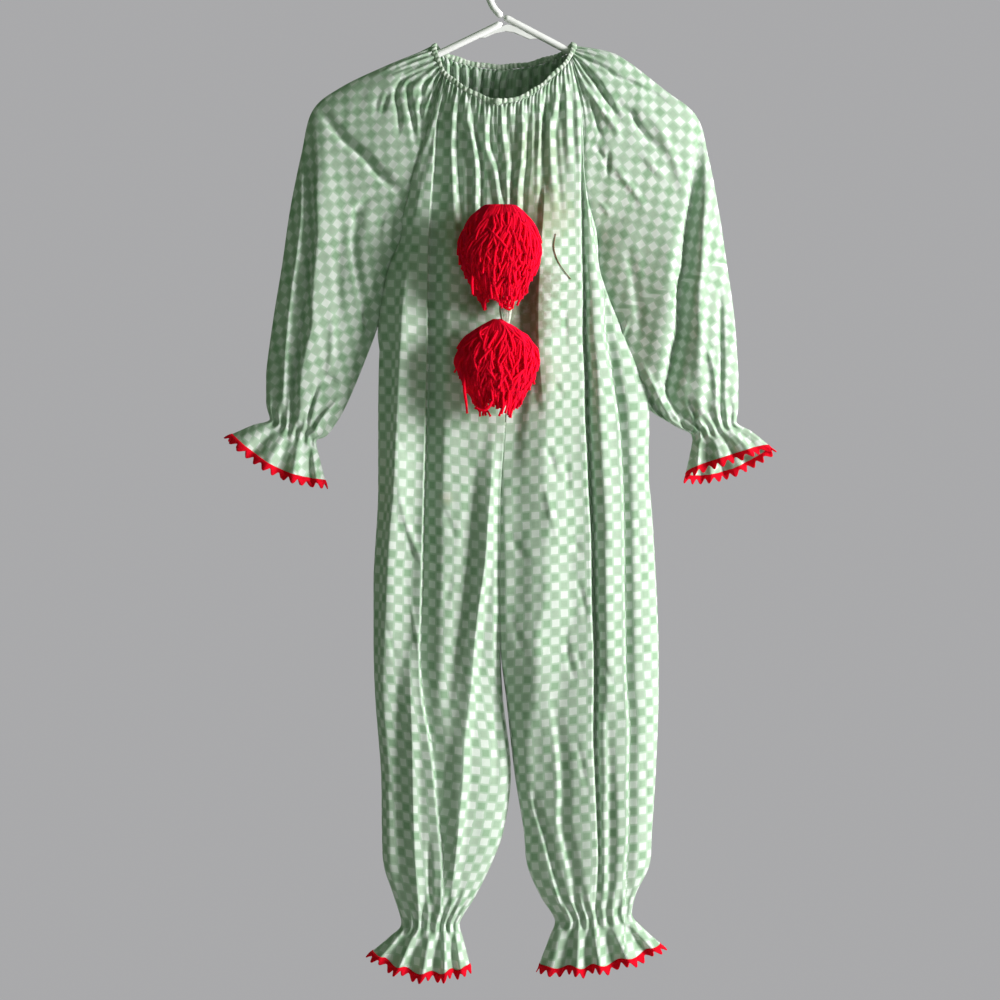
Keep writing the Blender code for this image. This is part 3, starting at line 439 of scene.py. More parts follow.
SLEEVE_LEFT = [
    # the crest that carries the light down to the wrist, its hollow and the strip beyond
    Fold([(312, 112, 0), (315, 131, 2), (316, 147, 4), (317, 163, 6), (316, 198, 7), (317, 240, 7), (314, 272, 7),
          (312, 304, 7), (311, 329, 6.5), (305, 352, 6), (301, 374, 5.5), (299.5, 399, 4.5), (300, 425, 2), (300, 440, 0)],
         4, 32, 0.6),
    Fold([(309, 140, 0), (309, 163, -3), (309, 200, -4), (309, 240, -5), (306, 291, -5), (302, 323, -5), (298, 355, -5),
          (294, 380, -5), (292, 406, -4), (290, 432, 0)], 4, 4, 0.4),
    Fold([(302, 150, 0), (302, 180, 3), (301, 220, 3.5), (296, 262, 3.5), (292, 290, 3.5), (289, 316, 3.5), (286, 348, 3),
          (284, 390, 3), (283, 431, 0)], 5, 4, 0.6),
    Fold([(293, 175, 0), (292, 200, -3), (290, 230, -2.5), (287, 262, 0)], 5, 5, 0.3),
    # the long soft hollow over the shoulder
    Fold([(318, 106, 0), (329, 122, -3), (338, 133, -5), (347, 143, -6), (358, 151, -6), (366, 159, -6), (375, 170, -6),
          (384, 179, -5), (393, 186, -3), (402, 195, 0)], 6, 9, 0.3),
    # gathers below the neck
    Fold([(403, 76, 0), (402, 81, -3), (396.6, 88, -4.5), (395.5, 98, -5), (398, 109, -4.5), (399, 124, -3), (398, 138, 0)], 3.5, 4, 0.4),
    Fold([(408, 78, 0), (408, 86, -4), (408, 94, -5.5), (410, 108, -6), (413, 124, -4), (414, 134, -2), (415, 145, 0)], 4, 5, 0.4),
    Fold([(432, 72, 0), (431, 83, -3), (431, 104, -3), (430, 122, 0)], 3, 3.5, 0.4),
    Fold([(422, 74, 0), (421, 90, -3.5), (421, 112, -3.5), (422, 140, 0)], 3.5, 4, 0.4),
    Fold([(389, 90, 0), (387, 97, -3), (384, 106, -3), (382, 116, 0)], 3, 4, 0.4),
    Fold([(379, 92, 0), (377, 104, -2.6), (375, 116, 0)], 3, 4, 0.4),
    Fold([(425, 58, 0), (419, 62, -3), (410, 66, -3.5), (398, 71, -2), (388, 76, 0)], 2.5, 3, 0.4),
    Fold([(427, 66, 0), (418, 71, -4), (410, 75, -4.5), (402, 80, -3), (392, 88, 0)], 3, 3.5, 0.4),
    # under the arm and by the wrist
    Fold([(374, 195, 0), (363, 202, -3.5), (358, 206, -4), (354, 214, -5), (355, 221, -5), (352, 240, -5.5), (353, 262, -6),
          (357, 285, -5), (361, 306, -3), (364, 320, 0)], 3, 13, 0.4),
    Fold([(385, 210, 0), (380.5, 226, -2.6), (379, 240, 0)], 3, 4, 0.4),
    Fold([(366, 300, 0), (362, 314, -4), (366, 327, -4.5), (370, 337, -4), (376, 348, 0)], 3, 4.5, 0.5),
    Fold([(322, 374, 0), (327, 378, -4), (333, 380, -4), (340, 383, 0)], 4, 5, 0.3),
    Fold([(318, 380, 0), (316, 390, -4), (313.6, 397, -5), (310, 410, -5), (307, 425, -4), (306, 440, -2), (306, 448, 0)], 2.5, 4, 0.4),
    Fold([(340, 396, 0), (336.5, 402, 3), (324, 416, 4), (316, 429, 3), (312, 440, 0)], 4, 3.5, 0.5),
    Fold([(360, 382, 0), (358, 388, -4), (353, 396, -5), (349, 401, -5), (344, 415, -5), (336.5, 426, -4), (329, 435, -2), (324, 442, 0)],
         2.5, 4, 0.4),
    Fold([(330, 300, 0), (333, 330, 2.5), (331, 360, 2.5), (327, 385, 0)], 6, 6, 0.4),
    Fold([(341, 215, 0), (339, 250, -2), (338, 290, -2), (340, 325, 0)], 8, 8, 0.3),
    Fold([(289, 277, 0), (299.5, 285, -1.5), (311, 287, 0)], 2, 2, 0.5)]
SLEEVE_RIGHT = [
    # the deep fold along the outer arm
    Fold([(700, 128, 0), (696, 158, -6), (693, 178, -10), (691, 197, -13), (687, 220, -14), (684, 250, -16), (683, 265, -16),
          (679, 282, -17), (678, 310, -17), (676.5, 336, -17), (673, 348, -17), (670, 368, -16), (666, 387, -14),
          (669, 399, -11), (676.5, 412, -9), (683, 425, -4), (686, 442, 0)], 3.2, 20, 0.35),
    Fold([(704, 118, 0), (705, 150, 2), (705, 178, 4), (704, 203, 5), (703, 229, 5), (702, 250, 5), (700, 300, 5), (700, 367, 5),
          (701, 418, 3), (703, 442, 0)], 12, 9, 0.5),
    Fold([(699, 318, 0), (703, 338, 2), (708, 350, 3), (712, 361, 3.5), (716, 387, 3.5), (717, 412, 3), (719, 430, 0)], 5, 3, 0.6),
    Fold([(719, 285, 0), (720, 310, -4), (721, 360, -5), (721, 400, -4), (722, 428, 0)], 3, 5, 0.4),
    Fold([(678, 205, 0), (672, 250, 3), (668, 300, 4), (664, 335, 4), (660, 362, 4), (657, 380, 3), (660, 405, 0)], 26, 9, 0.5),
    # folds that fan out below the neck
    Fold([(576, 50, 0), (584, 56, -3), (592, 61, -4), (607, 69, -5), (617, 77, -5), (631, 82, -4.5), (642, 88, -3.5), (657, 95, -2.5),
          (668, 104, 0)], 3.5, 4, 0.4),
    Fold([(580, 62, 0), (589, 75, -5), (596, 82, -7), (602, 92, -8), (611, 105, -6), (617, 115, -3), (620, 124, 0)], 4.5, 6, 0.35),
    Fold([(583, 80, 0), (588, 90, 3.5), (596, 102, 4.5), (608, 118, 4.5), (615, 126, 3.5), (620, 142, 0)], 6, 4, 0.4),
    Fold([(617, 94, 0), (622, 109, -4), (630, 111, -5), (636.5, 124, -6), (644, 134, -5), (653, 143, -3.5), (664, 154, 0)], 4, 6, 0.4),
    Fold([(638, 150, 0), (649, 162, 3), (657, 171, 3.5), (668, 182, 0)], 4.5, 4.5, 0.4),
    Fold([(608, 148, 0), (608.5, 158, -4), (608, 168, -4), (607, 180, 0)], 3, 3.5, 0.4),
    Fold([(614, 162, 0), (621, 174, 3), (626, 181, 3.5), (636.5, 193, 3.5), (646, 210, 0)], 5, 3, 0.6),
    Fold([(591, 143, 0), (600, 152, -3), (604, 159, -2.5), (606, 170, 0)], 3, 4, 0.4),
    Fold([(598, 200, 0), (606, 209, 2.5), (612, 217, 0)], 4, 3, 0.5),
    Fold([(590, 96, 0), (594, 112, -3.5), (598, 128, -3), (602, 140, 0)], 3, 4, 0.4),
    Fold([(640, 105, 0), (655, 122, 2.5), (670, 150, 3), (680, 178, 2), (684, 200, 0)], 7, 7, 0.3),
    Fold([(625, 235, 0), (632, 270, -2.2), (638, 310, -2.2), (641, 345, 0)], 7, 9, 0.3),
    # at the inner edge and the wrist
    Fold([(630, 316, 0), (626, 327, 3), (622.5, 334, 3.5), (619, 348, 0)], 4, 3, 0.6),
    Fold([(630, 362, 0), (633, 370, -5), (636.5, 380, -7), (644, 390, -8), (652, 403, -8), (661, 415, -7), (668, 427, -5), (677, 442, 0)],
         3, 6, 0.4),
    Fold([(640, 360, 0), (650, 380, 3.5), (660, 400, 4), (670, 420, 3), (678, 436, 0)], 5, 5, 0.4),
    Fold([(688, 395, 0), (693, 410, -4), (697, 425, -4), (700, 440, 0)], 3, 4, 0.4)]


def relief(folds, X, Y):
    out = np.zeros(X.shape)
    for fold in folds:
        fold.add(X, Y, out)
    return out


def crumple(X, Y, seed, amount=1.0):
    """The small unevenness of soft cotton: long faint ripples and short crinkles."""
    bend = 6.0 * noise(X / 60.0, Y / 90.0, seed + 5)
    h = 0.55 * noise((X + bend) / 13.0, Y / 85.0, seed)
    h += 0.32 * noise((X - bend) / 8.0 + 0.35 * Y / 30.0, Y / 34.0, seed + 1)
    h += 0.20 * noise((X + 0.6 * Y) / 7.0, (Y - 0.4 * X) / 12.0, seed + 2)
    h += 0.10 * noise(X / 4.0, Y / 5.0, seed + 3)
    return amount * h


# ------------------------------------------------------------------ the cloth
def sheet_mesh(name, P, UV, closed=False):
    """A grid of points (rows, columns) as a mesh with its cloth coordinates."""
    rows, cols = P.shape[:2]
    verts = (P.reshape(-1, 3) * MM).tolist()
    j, i = np.meshgrid(np.arange(rows - 1), np.arange(cols - 1), indexing="ij")
    a = (j * cols + i).ravel()
    quads = np.stack([a, a + cols, a + cols + 1, a + 1], 1)
    mesh = bpy.data.meshes.new(name)
    mesh.from_pydata(verts, [], quads.tolist())
    layer = mesh.uv_layers.new(name="UVMap")
    uv = (UV.reshape(-1, 2) * MM)[quads.ravel()]
    layer.data.foreach_set("uv", uv.astype(np.float32).ravel())
    mesh.update()
    mesh.shade_smooth()
    return mesh


def place(name, mesh, mat, solid=SKIN, offset=-1.0):
    obj = bpy.data.objects.new(name, mesh)
    bpy.context.scene.collection.objects.link(obj)
    mesh.materials.append(mat)
    if solid:
        skin = obj.modifiers.new("skin", "SOLIDIFY")
        skin.thickness = solid * MM
        skin.offset = offset
        skin.use_even_offset = False
    return obj


def uneven(weight, count):
    """Column numbers 0 to 1, closer where the weight is larger; one set for each row."""
    c = np.cumsum(weight, 1)
    c = np.concatenate([np.zeros((len(c), 1)), c], 1)
    c /= c[:, -1:]
    fine = np.linspace(0, 1, c.shape[1])
    want = np.linspace(0, 1, count)
    return np.stack([np.interp(want, row, fine) for row in c])


def body_rows():
    t = np.linspace(0, 18, 1801)
    zo, zi = table(LEFT_HALF, "z_out", t), table(LEFT_HALF, "z_in", t)
    d = np.maximum(np.abs(np.diff(zo)), np.abs(np.diff(zi))) / 3.7
    d += np.where(t[:-1] < 1.0, 0.22, 0) + np.where(t[:-1] > 15.0, 0.10, 0)
    c = np.r_[0, np.cumsum(d)]
    n = int(c[-1])
    return np.interp(np.linspace(0, c[-1], n), c, t)


BODY_T = body_rows()
BODY_COLS = 92
GUIDES = [f for f in FRONT if f.upright and f.sharp > 0.65 and (f.y[-1] - f.y[0]) > 60]
GUIDES_BACK = [f for f in BACK if f.upright and f.sharp > 0.65 and (f.y[-1] - f.y[0]) > 60]


def body_base(rows, side, face, U, T):
    col = lambda name: table(rows, name, T)
    x = col("x_out") + (col("x_in") - col("x_out")) * U
    z = col("z_out") + (col("z_in") - col("z_out")) * U
    z = z + col("bow") * np.sin(math.pi * U)
    if face > 0:
        z = z + smooth(1 - T / 3.0) * 44.0 * U + back_lift(side, T) * (1 - U)
    rise, close = section(U, np.clip(col("open_in"), 0, 1))
    depth = col("front") if face < 0 else col("back")
    rim = col("rim") * (1.0 if face < 0 else 0.62)
    y = rim * (1.0 - rise) + depth * rise * close
    # the side runs on behind the sleeve that hangs over it
    row = 500.0 - (z - EYE_Z) / STEP
    if side < 0:
        more = np.interp(row, (205, 222, 240, 262, 285, 310, 335, 350), (0, 3.5, 5.5, 6.0, 5.5, 4.5, 3.0, 0))
    else:
        more = np.interp(row, (205, 225, 250, 280, 305, 335, 365, 385, 400, 420, 450, 480), (0, 3, 4.5, 5.5, 6, 8, 12, 13, 12, 8, 3, 0))
    near = (1 - smooth(U / 0.30)) * more * 1.1
    x = x + side * near
    # the centre seam is closed
    x = x - side * 0.42 * smooth((U - 0.96) / 0.04) * smooth((640.0 - row) / 12.0)
    return x, y, z, rise, close


def body_sheet(name, rows, side, face):
    T = np.repeat(BODY_T[:, None], 400, 1)
    U = np.repeat(np.linspace(0, 1, 400)[None], len(BODY_T), 0)
    x, y, z, rise, close = body_base(rows, side, face, U, T)
    X, Y = chart(x, face * y, z)
    weight = np.ones(X.shape) + 1.2 * np.exp(-(U / 0.06) ** 2)
    for fold in (GUIDES if face < 0 else GUIDES_BACK):
        s, h = fold.where(X, Y)
        weight += 3.5 * np.exp(-((s - 0.8) / 3.0) ** 2) * smooth(np.abs(h) / 3.0)
    kernel = np.exp(-(np.arange(-30, 31) / 12.0) ** 2)
    padded = np.pad(weight, ((30, 30), (0, 0)), mode="edge")
    weight = sum(k * padded[i:i + len(weight)] for i, k in enumerate(kernel / kernel.sum()))
    U = uneven(weight[:, 1:], BODY_COLS)
    T = np.repeat(BODY_T[:, None], BODY_COLS, 1)
    x, y, z, rise, close = body_base(rows, side, face, U, T)
    X, Y = chart(x, face * y, z)
    fade = smooth(U / 0.07) * np.where(close < 1, smooth(close / 0.5), 1.0)
    h = relief(FRONT if face < 0 else BACK, X, Y)
    fall = smooth((T - 0.15) / 0.8)
    h *= fade * fall * smooth((17.2 - T) / 1.2)
    h += crumple(X, Y, 11 if face < 0 else 37) * fade * smooth(T / 0.8)
    # gathers at the ankle elastic and the flare of the ruffle
    across = U * (1.0 + 0.04 * np.sin(9 * U + side))
    wide = 7.5 if side < 0 else 8.5
    ankle = smooth((T - 14.2) / 1.6) * smooth((16.9 - T) / 0.8)
    h += 1.9 * ankle * np.sin(2 * math.pi * wide * across + 0.7 * side) * smooth(U * 9) * smooth((1 - U) * 9)
    h += 0.9 * smooth((T - 13.6) / 1.5) * smooth((16.5 - T) / 0.5) * np.sin(2 * math.pi * 3.5 * across + 1.9) * smooth(U * 6) * smooth((1 - U) * 6)
    flare = smooth((T - 16.0) / 1.8)
    flute = np.sin(2 * math.pi * 4.5 * across + (0.6 if side < 0 else 1.3) + face)
    flute2 = np.sin(2 * math.pi * 9.0 * across + 2.1 * face)
    h += flare * (6.0 * flute + 1.6 * flute2 * (1 - flare * 0.5)) * smooth(U * 7) * smooth((1 - U) * 7)
    y = y + h
    y = np.maximum(y, 0.15 * (1 - smooth(U * 40)) + 0.15)
    y = np.where(close < 0.999, np.maximum(y, 0.15), y)
    z = z - flare * 2.0 * np.cos(2 * math.pi * 4.5 * across + (0.6 if side < 0 else 1.3) + face) * smooth((T - 17) / 1.0) * smooth(U * 7) * smooth((1 - U) * 7)
    P = np.stack([x, face * y, z], -1)
    # the top lies along the neck casing
    names = {(-1, -1): ("left_front_raglan", "centre_front"), (1, -1): ("right_front_raglan", "centre_front"),
             (-1, 1): ("left_back_raglan", "centre_back"), (1, 1): ("right_back_raglan", "centre_back")}[(side, face)]
    a, b = (row_number(NECK_RING, n) for n in names)
    rim_edge = ring_edge(a + (b - a) * U)
    w = np.where(T < 1, smooth(1 - T), 0.0)[..., None]
    P = P * (1 - w) + rim_edge * w
    # fine gathers below the casing, running together into the pleats
    arc = np.cumsum(np.r_[0, np.hypot(np.diff(rim_edge[0, :, 0]), np.diff(rim_edge[0, :, 2]))])
    arc = np.interp(U, U[0], arc)
    near = smooth(T / 0.06)
    g1 = near * smooth((1.1 - T) / 1.0) * 1.5 * np.sin(2 * math.pi * arc / 5.2 + 1.4 * np.sin(arc / 11.0))
    g2 = smooth((T - 0.1) / 0.5) * smooth((2.6 - T) / 2.0) * (0.9 * np.sin(2 * math.pi * arc / 11.0 + 1.1 * np.sin(arc / 17.0)) if face < 0 else
                                                                       5.0 * np.sin(2 * math.pi * arc / 11.6 + 1.3 * np.sin(arc / 17.0)) * (1 - 0.8 * np.exp(-((X - 510.0) / 8.0) ** 2)))
    P[..., 1] += face * (g1 + g2) * (0.25 + 0.75 * smooth(U / 0.05)) * np.where(U > 0.97, smooth((1 - U) / 0.03), 1)
    # cloth coordinates
    step = np.hypot(np.diff(P[..., 0], axis=1), np.diff(P[..., 1], axis=1))
    arc = np.concatenate([np.zeros((len(P), 1)), np.cumsum(step, 1)], 1) * (1 if side < 0 else -1)
    X2, Y2 = chart(P[..., 0], P[..., 1], P[..., 2])
    def zone(start, end, first, inside, line):
        """Arc length from a guide, evened out down the cloth so that the threads run straight."""
        width = np.abs(end - start)
        width = np.maximum(width, 1.0)
        n = len(width)
        reach = np.arange(-90, 91)
        kernel = np.exp(-(reach / 38.0) ** 2)
        kernel /= kernel.sum()
        even = np.convolve(np.pad(width, 90, mode="edge"), kernel, mode="valid")[:n]
        return (arc - first[:, None]) * (even / width)[:, None] + line

    lo, hi = arc[:, 0], arc[:, -1]
    if face < 0 and side < 0:
        slit = np.interp(Y2, FIRST.y, FIRST.x + 2.2)
        at = anchor(arc, X2, np.interp(Y2, FIRST.y, FIRST.x))
        u = np.where(X2 < slit, zone(lo, at, at, 0, -9.0 * CELL), zone(at, hi, hi, 0, 0.0))
    elif face < 0:
        slit = np.interp(Y2, SECOND.y, SECOND.x + 2.2)
        slit2 = np.interp(Y2, THIRD.y, THIRD.x + 2.2)
        at = anchor(arc, X2, np.interp(Y2, SECOND.y, SECOND.x))
        at2 = anchor(arc, X2, np.interp(Y2, THIRD.y, THIRD.x))
        u = np.where(X2 < slit, zone(hi, at, at, 0, 9.6 * CELL),
                     np.where(X2 < slit2, zone(at, at2, at2, 0, 14.2 * CELL), zone(at2, lo, at2, 0, 15.3 * CELL)))
    else:
        u = zone(lo, hi, hi, 0, 0.0)
    v = -P[..., 2] + 0.105 * np.abs(P[..., 0] + 5.0)
    mesh = sheet_mesh(name, P, np.stack([u, v], -1))
    return mesh, P


def anchor(arc, X, want):
    """Arc length in every row where the row crosses the wanted column."""
    out = np.zeros(len(arc))
    for k in range(len(arc)):
        d = X[k] - want[k]
        s = np.nonzero(np.diff(np.sign(d)) != 0)[0]
        if len(s):
            m = s[0]
            f = d[m] / (d[m] - d[m + 1])
            out[k] = arc[k, m] + f * (arc[k, m + 1] - arc[k, m])
        else:
            out[k] = arc[k, np.argmin(np.abs(d))]
    return out


FIRST = [f for f in FRONT if f.upright and abs(f.x[0] - 443.5) < 0.2 and f.sharp == 1.0][0]
SECOND = [f for f in FRONT if f.upright and abs(f.x[0] - 576) < 0.2 and f.sharp == 1.0][0]
THIRD = [f for f in FRONT if f.upright and abs(f.x[0] - 583) < 0.2 and f.sharp == 1.0][0]


def sleeve_sheet(name, rows, side, folds):
    t = np.linspace(0, 12, 1201)
    zo, zi = table(rows, "z_top", t), table(rows, "z_in", t)
    xo, xi = table(rows, "x_top", t), table(rows, "x_in", t)
    d = np.maximum(np.hypot(np.diff(zo), np.diff(xo)), np.hypot(np.diff(zi), np.diff(xi))) / 2.9
    d += np.where(t[:-1] < 1.0, 0.15, 0) + np.where(t[:-1] > 9.0, 0.12, 0)
    c = np.r_[0, np.cumsum(d)]
    n = int(c[-1])
    ts = np.interp(np.linspace(0, c[-1], n), c, t)
    cols = 151
    Q = np.repeat(np.linspace(-1, 1, cols)[None], n, 0)
    T = np.repeat(ts[:, None], cols, 1)
    col = lambda nm: table(rows, nm, T)
    face = np.where(Q < 0, -1.0, 1.0)
    S = 0.5 - 0.5 * np.cos(math.pi * np.abs(Q))
    x = col("x_top") + (col("x_in") - col("x_top")) * S
    z = col("z_top") + (col("z_in") - col("z_top")) * S
    if side > 0:
        row = 500.0 - (z - EYE_Z) / STEP
        x = x - 1.1 * np.interp(row, (325, 345, 362, 380, 396, 410, 424, 440), (0, 5, 9, 14, 15, 11, 5, 0)) * S ** 2
        turn = smooth((T - 10.4) / 1.6) * np.sin(math.pi * S) ** 0.5
        z = z + np.where(face < 0, 11.0, -5.0) * turn
    z = z + col("bow") * np.sin(math.pi * S)
    z = z + np.where(face > 0, back_lift(side, T) * S, 0)
    rise, close = section(S, 0.0, 2.1)
    depth = np.where(face < 0, col("front"), col("back"))
    rim = col("rim") * np.where(face < 0, 1.0, 0.62)
    y = rise * (depth * close + rim * (1.0 - close))
    X, Y = chart(x, face * y, z)
    inner = smooth(S / 0.05) * smooth((1 - S) / 0.05)
    h = np.where(face < 0, relief(folds[0], X, Y), relief(folds[1], X, Y)) * smooth((10.8 - T) / 1.0) * smooth(T / 0.7)
    h += crumple(X, Y, 71 + side) * smooth(T / 0.6)
    wrist = smooth((T - 7.6) / 2.0) * smooth((10.8 - T) / 0.6)
    h += 1.5 * wrist * np.sin(2 * math.pi * 6.5 * S + face)
    flare = smooth((T - 10.0) / 1.8)
    h += flare * (4.6 * np.sin(2 * math.pi * 3.5 * S + 1.0 + 0.8 * face + side) + 1.2 * np.sin(2 * math.pi * 8 * S + side)) * smooth(S * 8) * smooth((1 - S) * 8)
    h *= inner
    y = y + h
    y = np.where(S > 0.9, np.maximum(y, 0.15), y)
    P = np.stack([x, face * y, z], -1)
    end = row_number(NECK_RING, "left_end" if side < 0 else "right_end")
    seam = np.where(face < 0, 1, -1) * (1 if side < 0 else -1)
    rim_edge = ring_edge(end + seam * np.sqrt(S))
    w = np.where(T < 1, smooth(1 - T), 0.0)[..., None]
    P = P * (1 - w) + rim_edge * w
    g = smooth(T / 0.06) * smooth((1.6 - T) / 1.4) * 1.5 * np.sin(2 * math.pi * 8.5 * np.abs(Q) + side) * smooth(np.abs(Q) * 6) * smooth((1 - np.abs(Q)) * 6)
    P[..., 1] += face * g
    # cloth coordinates: the check lies on the bias here and leans more towards the wrist
    step = np.hypot(np.diff(P[..., 0], axis=1), np.diff(P[..., 1], axis=1)) * side * np.where(Q[:, 1:] <= 1e-9, 1.0, -1.0)
    arc = np.concatenate([np.zeros((len(P), 1)), np.cumsum(step, 1)], 1)
    pin = int((cols - 1) * 0.27)
    a = P[:, pin:pin + 1, 0] + arc - arc[:, pin:pin + 1]
    b = -P[..., 2]
    if side < 0:
        lean0, lean1 = 3.0, 12.0
    else:
        lean0, lean1 = -3.0, -15.0
    grid = np.linspace(100, 620, 200)
    lean = np.radians(lean0 + (lean1 - lean0) * smooth((grid - 110) / 330.0))
    drift = np.r_[0, np.cumsum(np.tan(lean[:-1]) * np.diff(grid))]
    a2 = a - np.interp(b, grid, drift)
    b2 = b + (a - side * 150.0) * np.tan(np.interp(b, grid, lean))
    u = (a2 + b2) / math.sqrt(2)
    v = (b2 - a2) / math.sqrt(2)
    return sheet_mesh(name, P, np.stack([u, v], -1)), P


# ------------------------------------------------------------------ materials
class Nodes:
    def __init__(self, name):
        self.mat = bpy.data.materials.new(name)
        self.mat.use_nodes = True
        self.tree = self.mat.node_tree
        self.shader = self.tree.nodes["Principled BSDF"]

    def new(self, kind, **inputs):
        node = self.tree.nodes.new(kind)
        for key, value in inputs.items():
            self.set(node, key, value)
        return node

    def set(self, node, key, value):
        socket = node.inputs[int(key[1:]) if key[0] == "_" and key[1:].isdigit() else key]
        if hasattr(value, "is_output") or isinstance(value, bpy.types.NodeSocket):
            self.tree.links.new(value, socket)
        else:
            socket.default_value = value

    def math(self, op, a, b=0.0, c=0.0, clamp=False):
        node = self.tree.nodes.new("ShaderNodeMath")
        node.operation = op
        node.use_clamp = clamp
        self.set(node, "_0", a)
        self.set(node, "_1", b)
        if op in ("MULTIPLY_ADD", "SMOOTH_MIN", "COMPARE"):
            self.set(node, "_2", c)
        return node.outputs[0]

    def mix(self, f, a, b):
        node = self.tree.nodes.new("ShaderNodeMix")
        node.data_type = "RGBA"
        self.set(node, "_0", f)
        for k, v in ((6, a), (7, b)):
            if isinstance(v, tuple):
                node.inputs[k].default_value = (*v, 1.0) if len(v) == 3 else v
            else:
                self.tree.links.new(v, node.inputs[k])
        return node.outputs[2]

    def ramp(self, f, *stops):
        node = self.tree.nodes.new("ShaderNodeValToRGB")
        self.tree.links.new(f, node.inputs[0])
        ramp = node.color_ramp
        while len(ramp.elements) < len(stops):
            ramp.elements.new(0.5)
        for e, (p, v) in zip(ramp.elements, stops):
            e.position = p
            e.color = (v, v, v, 1.0) if not isinstance(v, tuple) else (*v, 1.0)
        return node.outputs[0]

    def noise(self, vector, scale, detail=2.0, rough=0.5):
        node = self.new("ShaderNodeTexNoise", Scale=scale, Detail=detail, Roughness=rough)
        self.tree.links.new(vector, node.inputs["Vector"])
        return node.outputs["Fac"]


def check_cloth(name, stains_and_painted_shade=()):
    n = Nodes(name)
    uv = n.new("ShaderNodeUVMap").outputs[0]
    obj = n.new("ShaderNodeTexCoord").outputs["Object"]
    split = n.new("ShaderNodeSeparateXYZ")
    # a slow wander of the threads, so that no row is quite straight
    wander = n.noise(uv, 22.0, 1.0)
    shift = n.math("MULTIPLY", n.math("SUBTRACT", wander, 0.5), 0.0030)
    n.tree.links.new(uv, split.inputs[0])
    u = n.math("DIVIDE", n.math("ADD", split.outputs[0], shift), CELL * MM)
    v = n.math("DIVIDE", n.math("ADD", split.outputs[1], shift), CELL * MM)
    iu, iv = n.math("FLOOR", u), n.math("FLOOR", v)
    fu, fv = n.math("SUBTRACT", u, iu), n.math("SUBTRACT", v, iv)
    odd = n.math("FLOORED_MODULO", n.math("ADD", iu, iv), 2.0)
    cu = n.math("ABSOLUTE", n.math("SUBTRACT", fu, 0.5))
    cv = n.math("ABSOLUTE", n.math("SUBTRACT", fv, 0.5))
    ragged = n.math("MULTIPLY", n.math("SUBTRACT", n.noise(uv, 900.0, 2.0), 0.5), 0.10)
    far = n.math("ADD", n.math("MAXIMUM", cu, cv), ragged)
    square = n.ramp(far, (0.385, 1.0), (0.435, 0.0))
    white = n.math("MULTIPLY", square, odd)
    core = n.math("MULTIPLY", n.ramp(far, (0.30, 1.0), (0.46, 0.0)), n.math("SUBTRACT", 1.0, odd))
    cell = n.new("ShaderNodeCombineXYZ")
    n.tree.links.new(iu, cell.inputs[0])
    n.tree.links.new(iv, cell.inputs[1])
    rnd = n.new("ShaderNodeTexWhiteNoise")
    rnd.noise_dimensions = "2D"
    n.tree.links.new(cell.outputs[0], rnd.inputs["Vector"])
    vary = rnd.outputs["Value"]
    green = n.mix(vary, (0.235, 0.375, 0.240), (0.350, 0.450, 0.350))
    border = (0.375, 0.495, 0.385)
    pale = n.mix(vary, (0.525, 0.595, 0.540), (0.615, 0.665, 0.625))
    colour = n.mix(core, border, green)
    colour = n.mix(white, colour, pale)
    # threads: fine light and dark, both ways
    tu = n.math("SINE", n.math("MULTIPLY", u, 2 * math.pi * 19))
    tv = n.math("SINE", n.math("MULTIPLY", v, 2 * math.pi * 20))
    weave = n.math("MULTIPLY_ADD", n.math("MULTIPLY", tu, tv), 0.5, 0.5)
    slub = n.noise(uv, 260.0, 3.0, 0.6)
    faded = n.noise(obj, 9.0, 3.0, 0.55)
    tone = n.math("ADD", n.math("MULTIPLY", weave, 0.06), n.math("MULTIPLY", slub, 0.10))
    tone = n.math("ADD", tone, n.math("MULTIPLY", faded, 0.12))
    tone = n.math("ADD", tone, 0.86)
    grey = n.new("ShaderNodeCombineColor")
    for k in range(3):
        n.tree.links.new(tone, grey.inputs[k])
    both = n.tree.nodes.new("ShaderNodeMix")
    both.data_type = "RGBA"
    both.blend_type = "MULTIPLY"
    both.inputs[0].default_value = 1.0
    n.tree.links.new(colour, both.inputs[6])
    n.tree.links.new(grey.outputs[0], both.inputs[7])
    colour = both.outputs[2]
    # soft darker spots mixed into the colour: real small stains, and larger painted shade and painted shadow of the
    # pompoms
    for (sx, sy, sz), size, tint, strength in stains_and_painted_shade:
        there = n.new("ShaderNodeVectorMath")
        there.operation = "DISTANCE"
        n.tree.links.new(obj, there.inputs[0])
        there.inputs[1].default_value = (sx * MM, sy * MM, sz * MM)
        wob = n.math("MULTIPLY", n.math("SUBTRACT", n.noise(obj, 160.0, 2.0), 0.5), size * MM * 0.9)
        spot = n.math("ADD", there.outputs["Value"], wob)
        mask = n.ramp(n.math("DIVIDE", spot, size * MM), (0.35, strength), (1.0, 0.0))
        colour = n.mix(mask, colour, tint)
    n.tree.links.new(colour, n.shader.inputs["Base Color"])
    n.shader.inputs["Roughness"].default_value = 0.86
    n.shader.inputs["Sheen Weight"].default_value = 0.12
    n.shader.inputs["Sheen Roughness"].default_value = 0.4
    n.shader.inputs["Specular IOR Level"].default_value = 0.25
    crinkle = n.noise(uv, 130.0, 4.0, 0.6)
    height = n.math("ADD", n.math("MULTIPLY", weave, 0.10), n.math("MULTIPLY", crinkle, 0.9))
    bump = n.new("ShaderNodeBump", Strength=0.35, Distance=0.0012)
    n.tree.links.new(height, bump.inputs["Height"])
    n.tree.links.new(bump.outputs[0], n.shader.inputs["Normal"])
    return n.mat


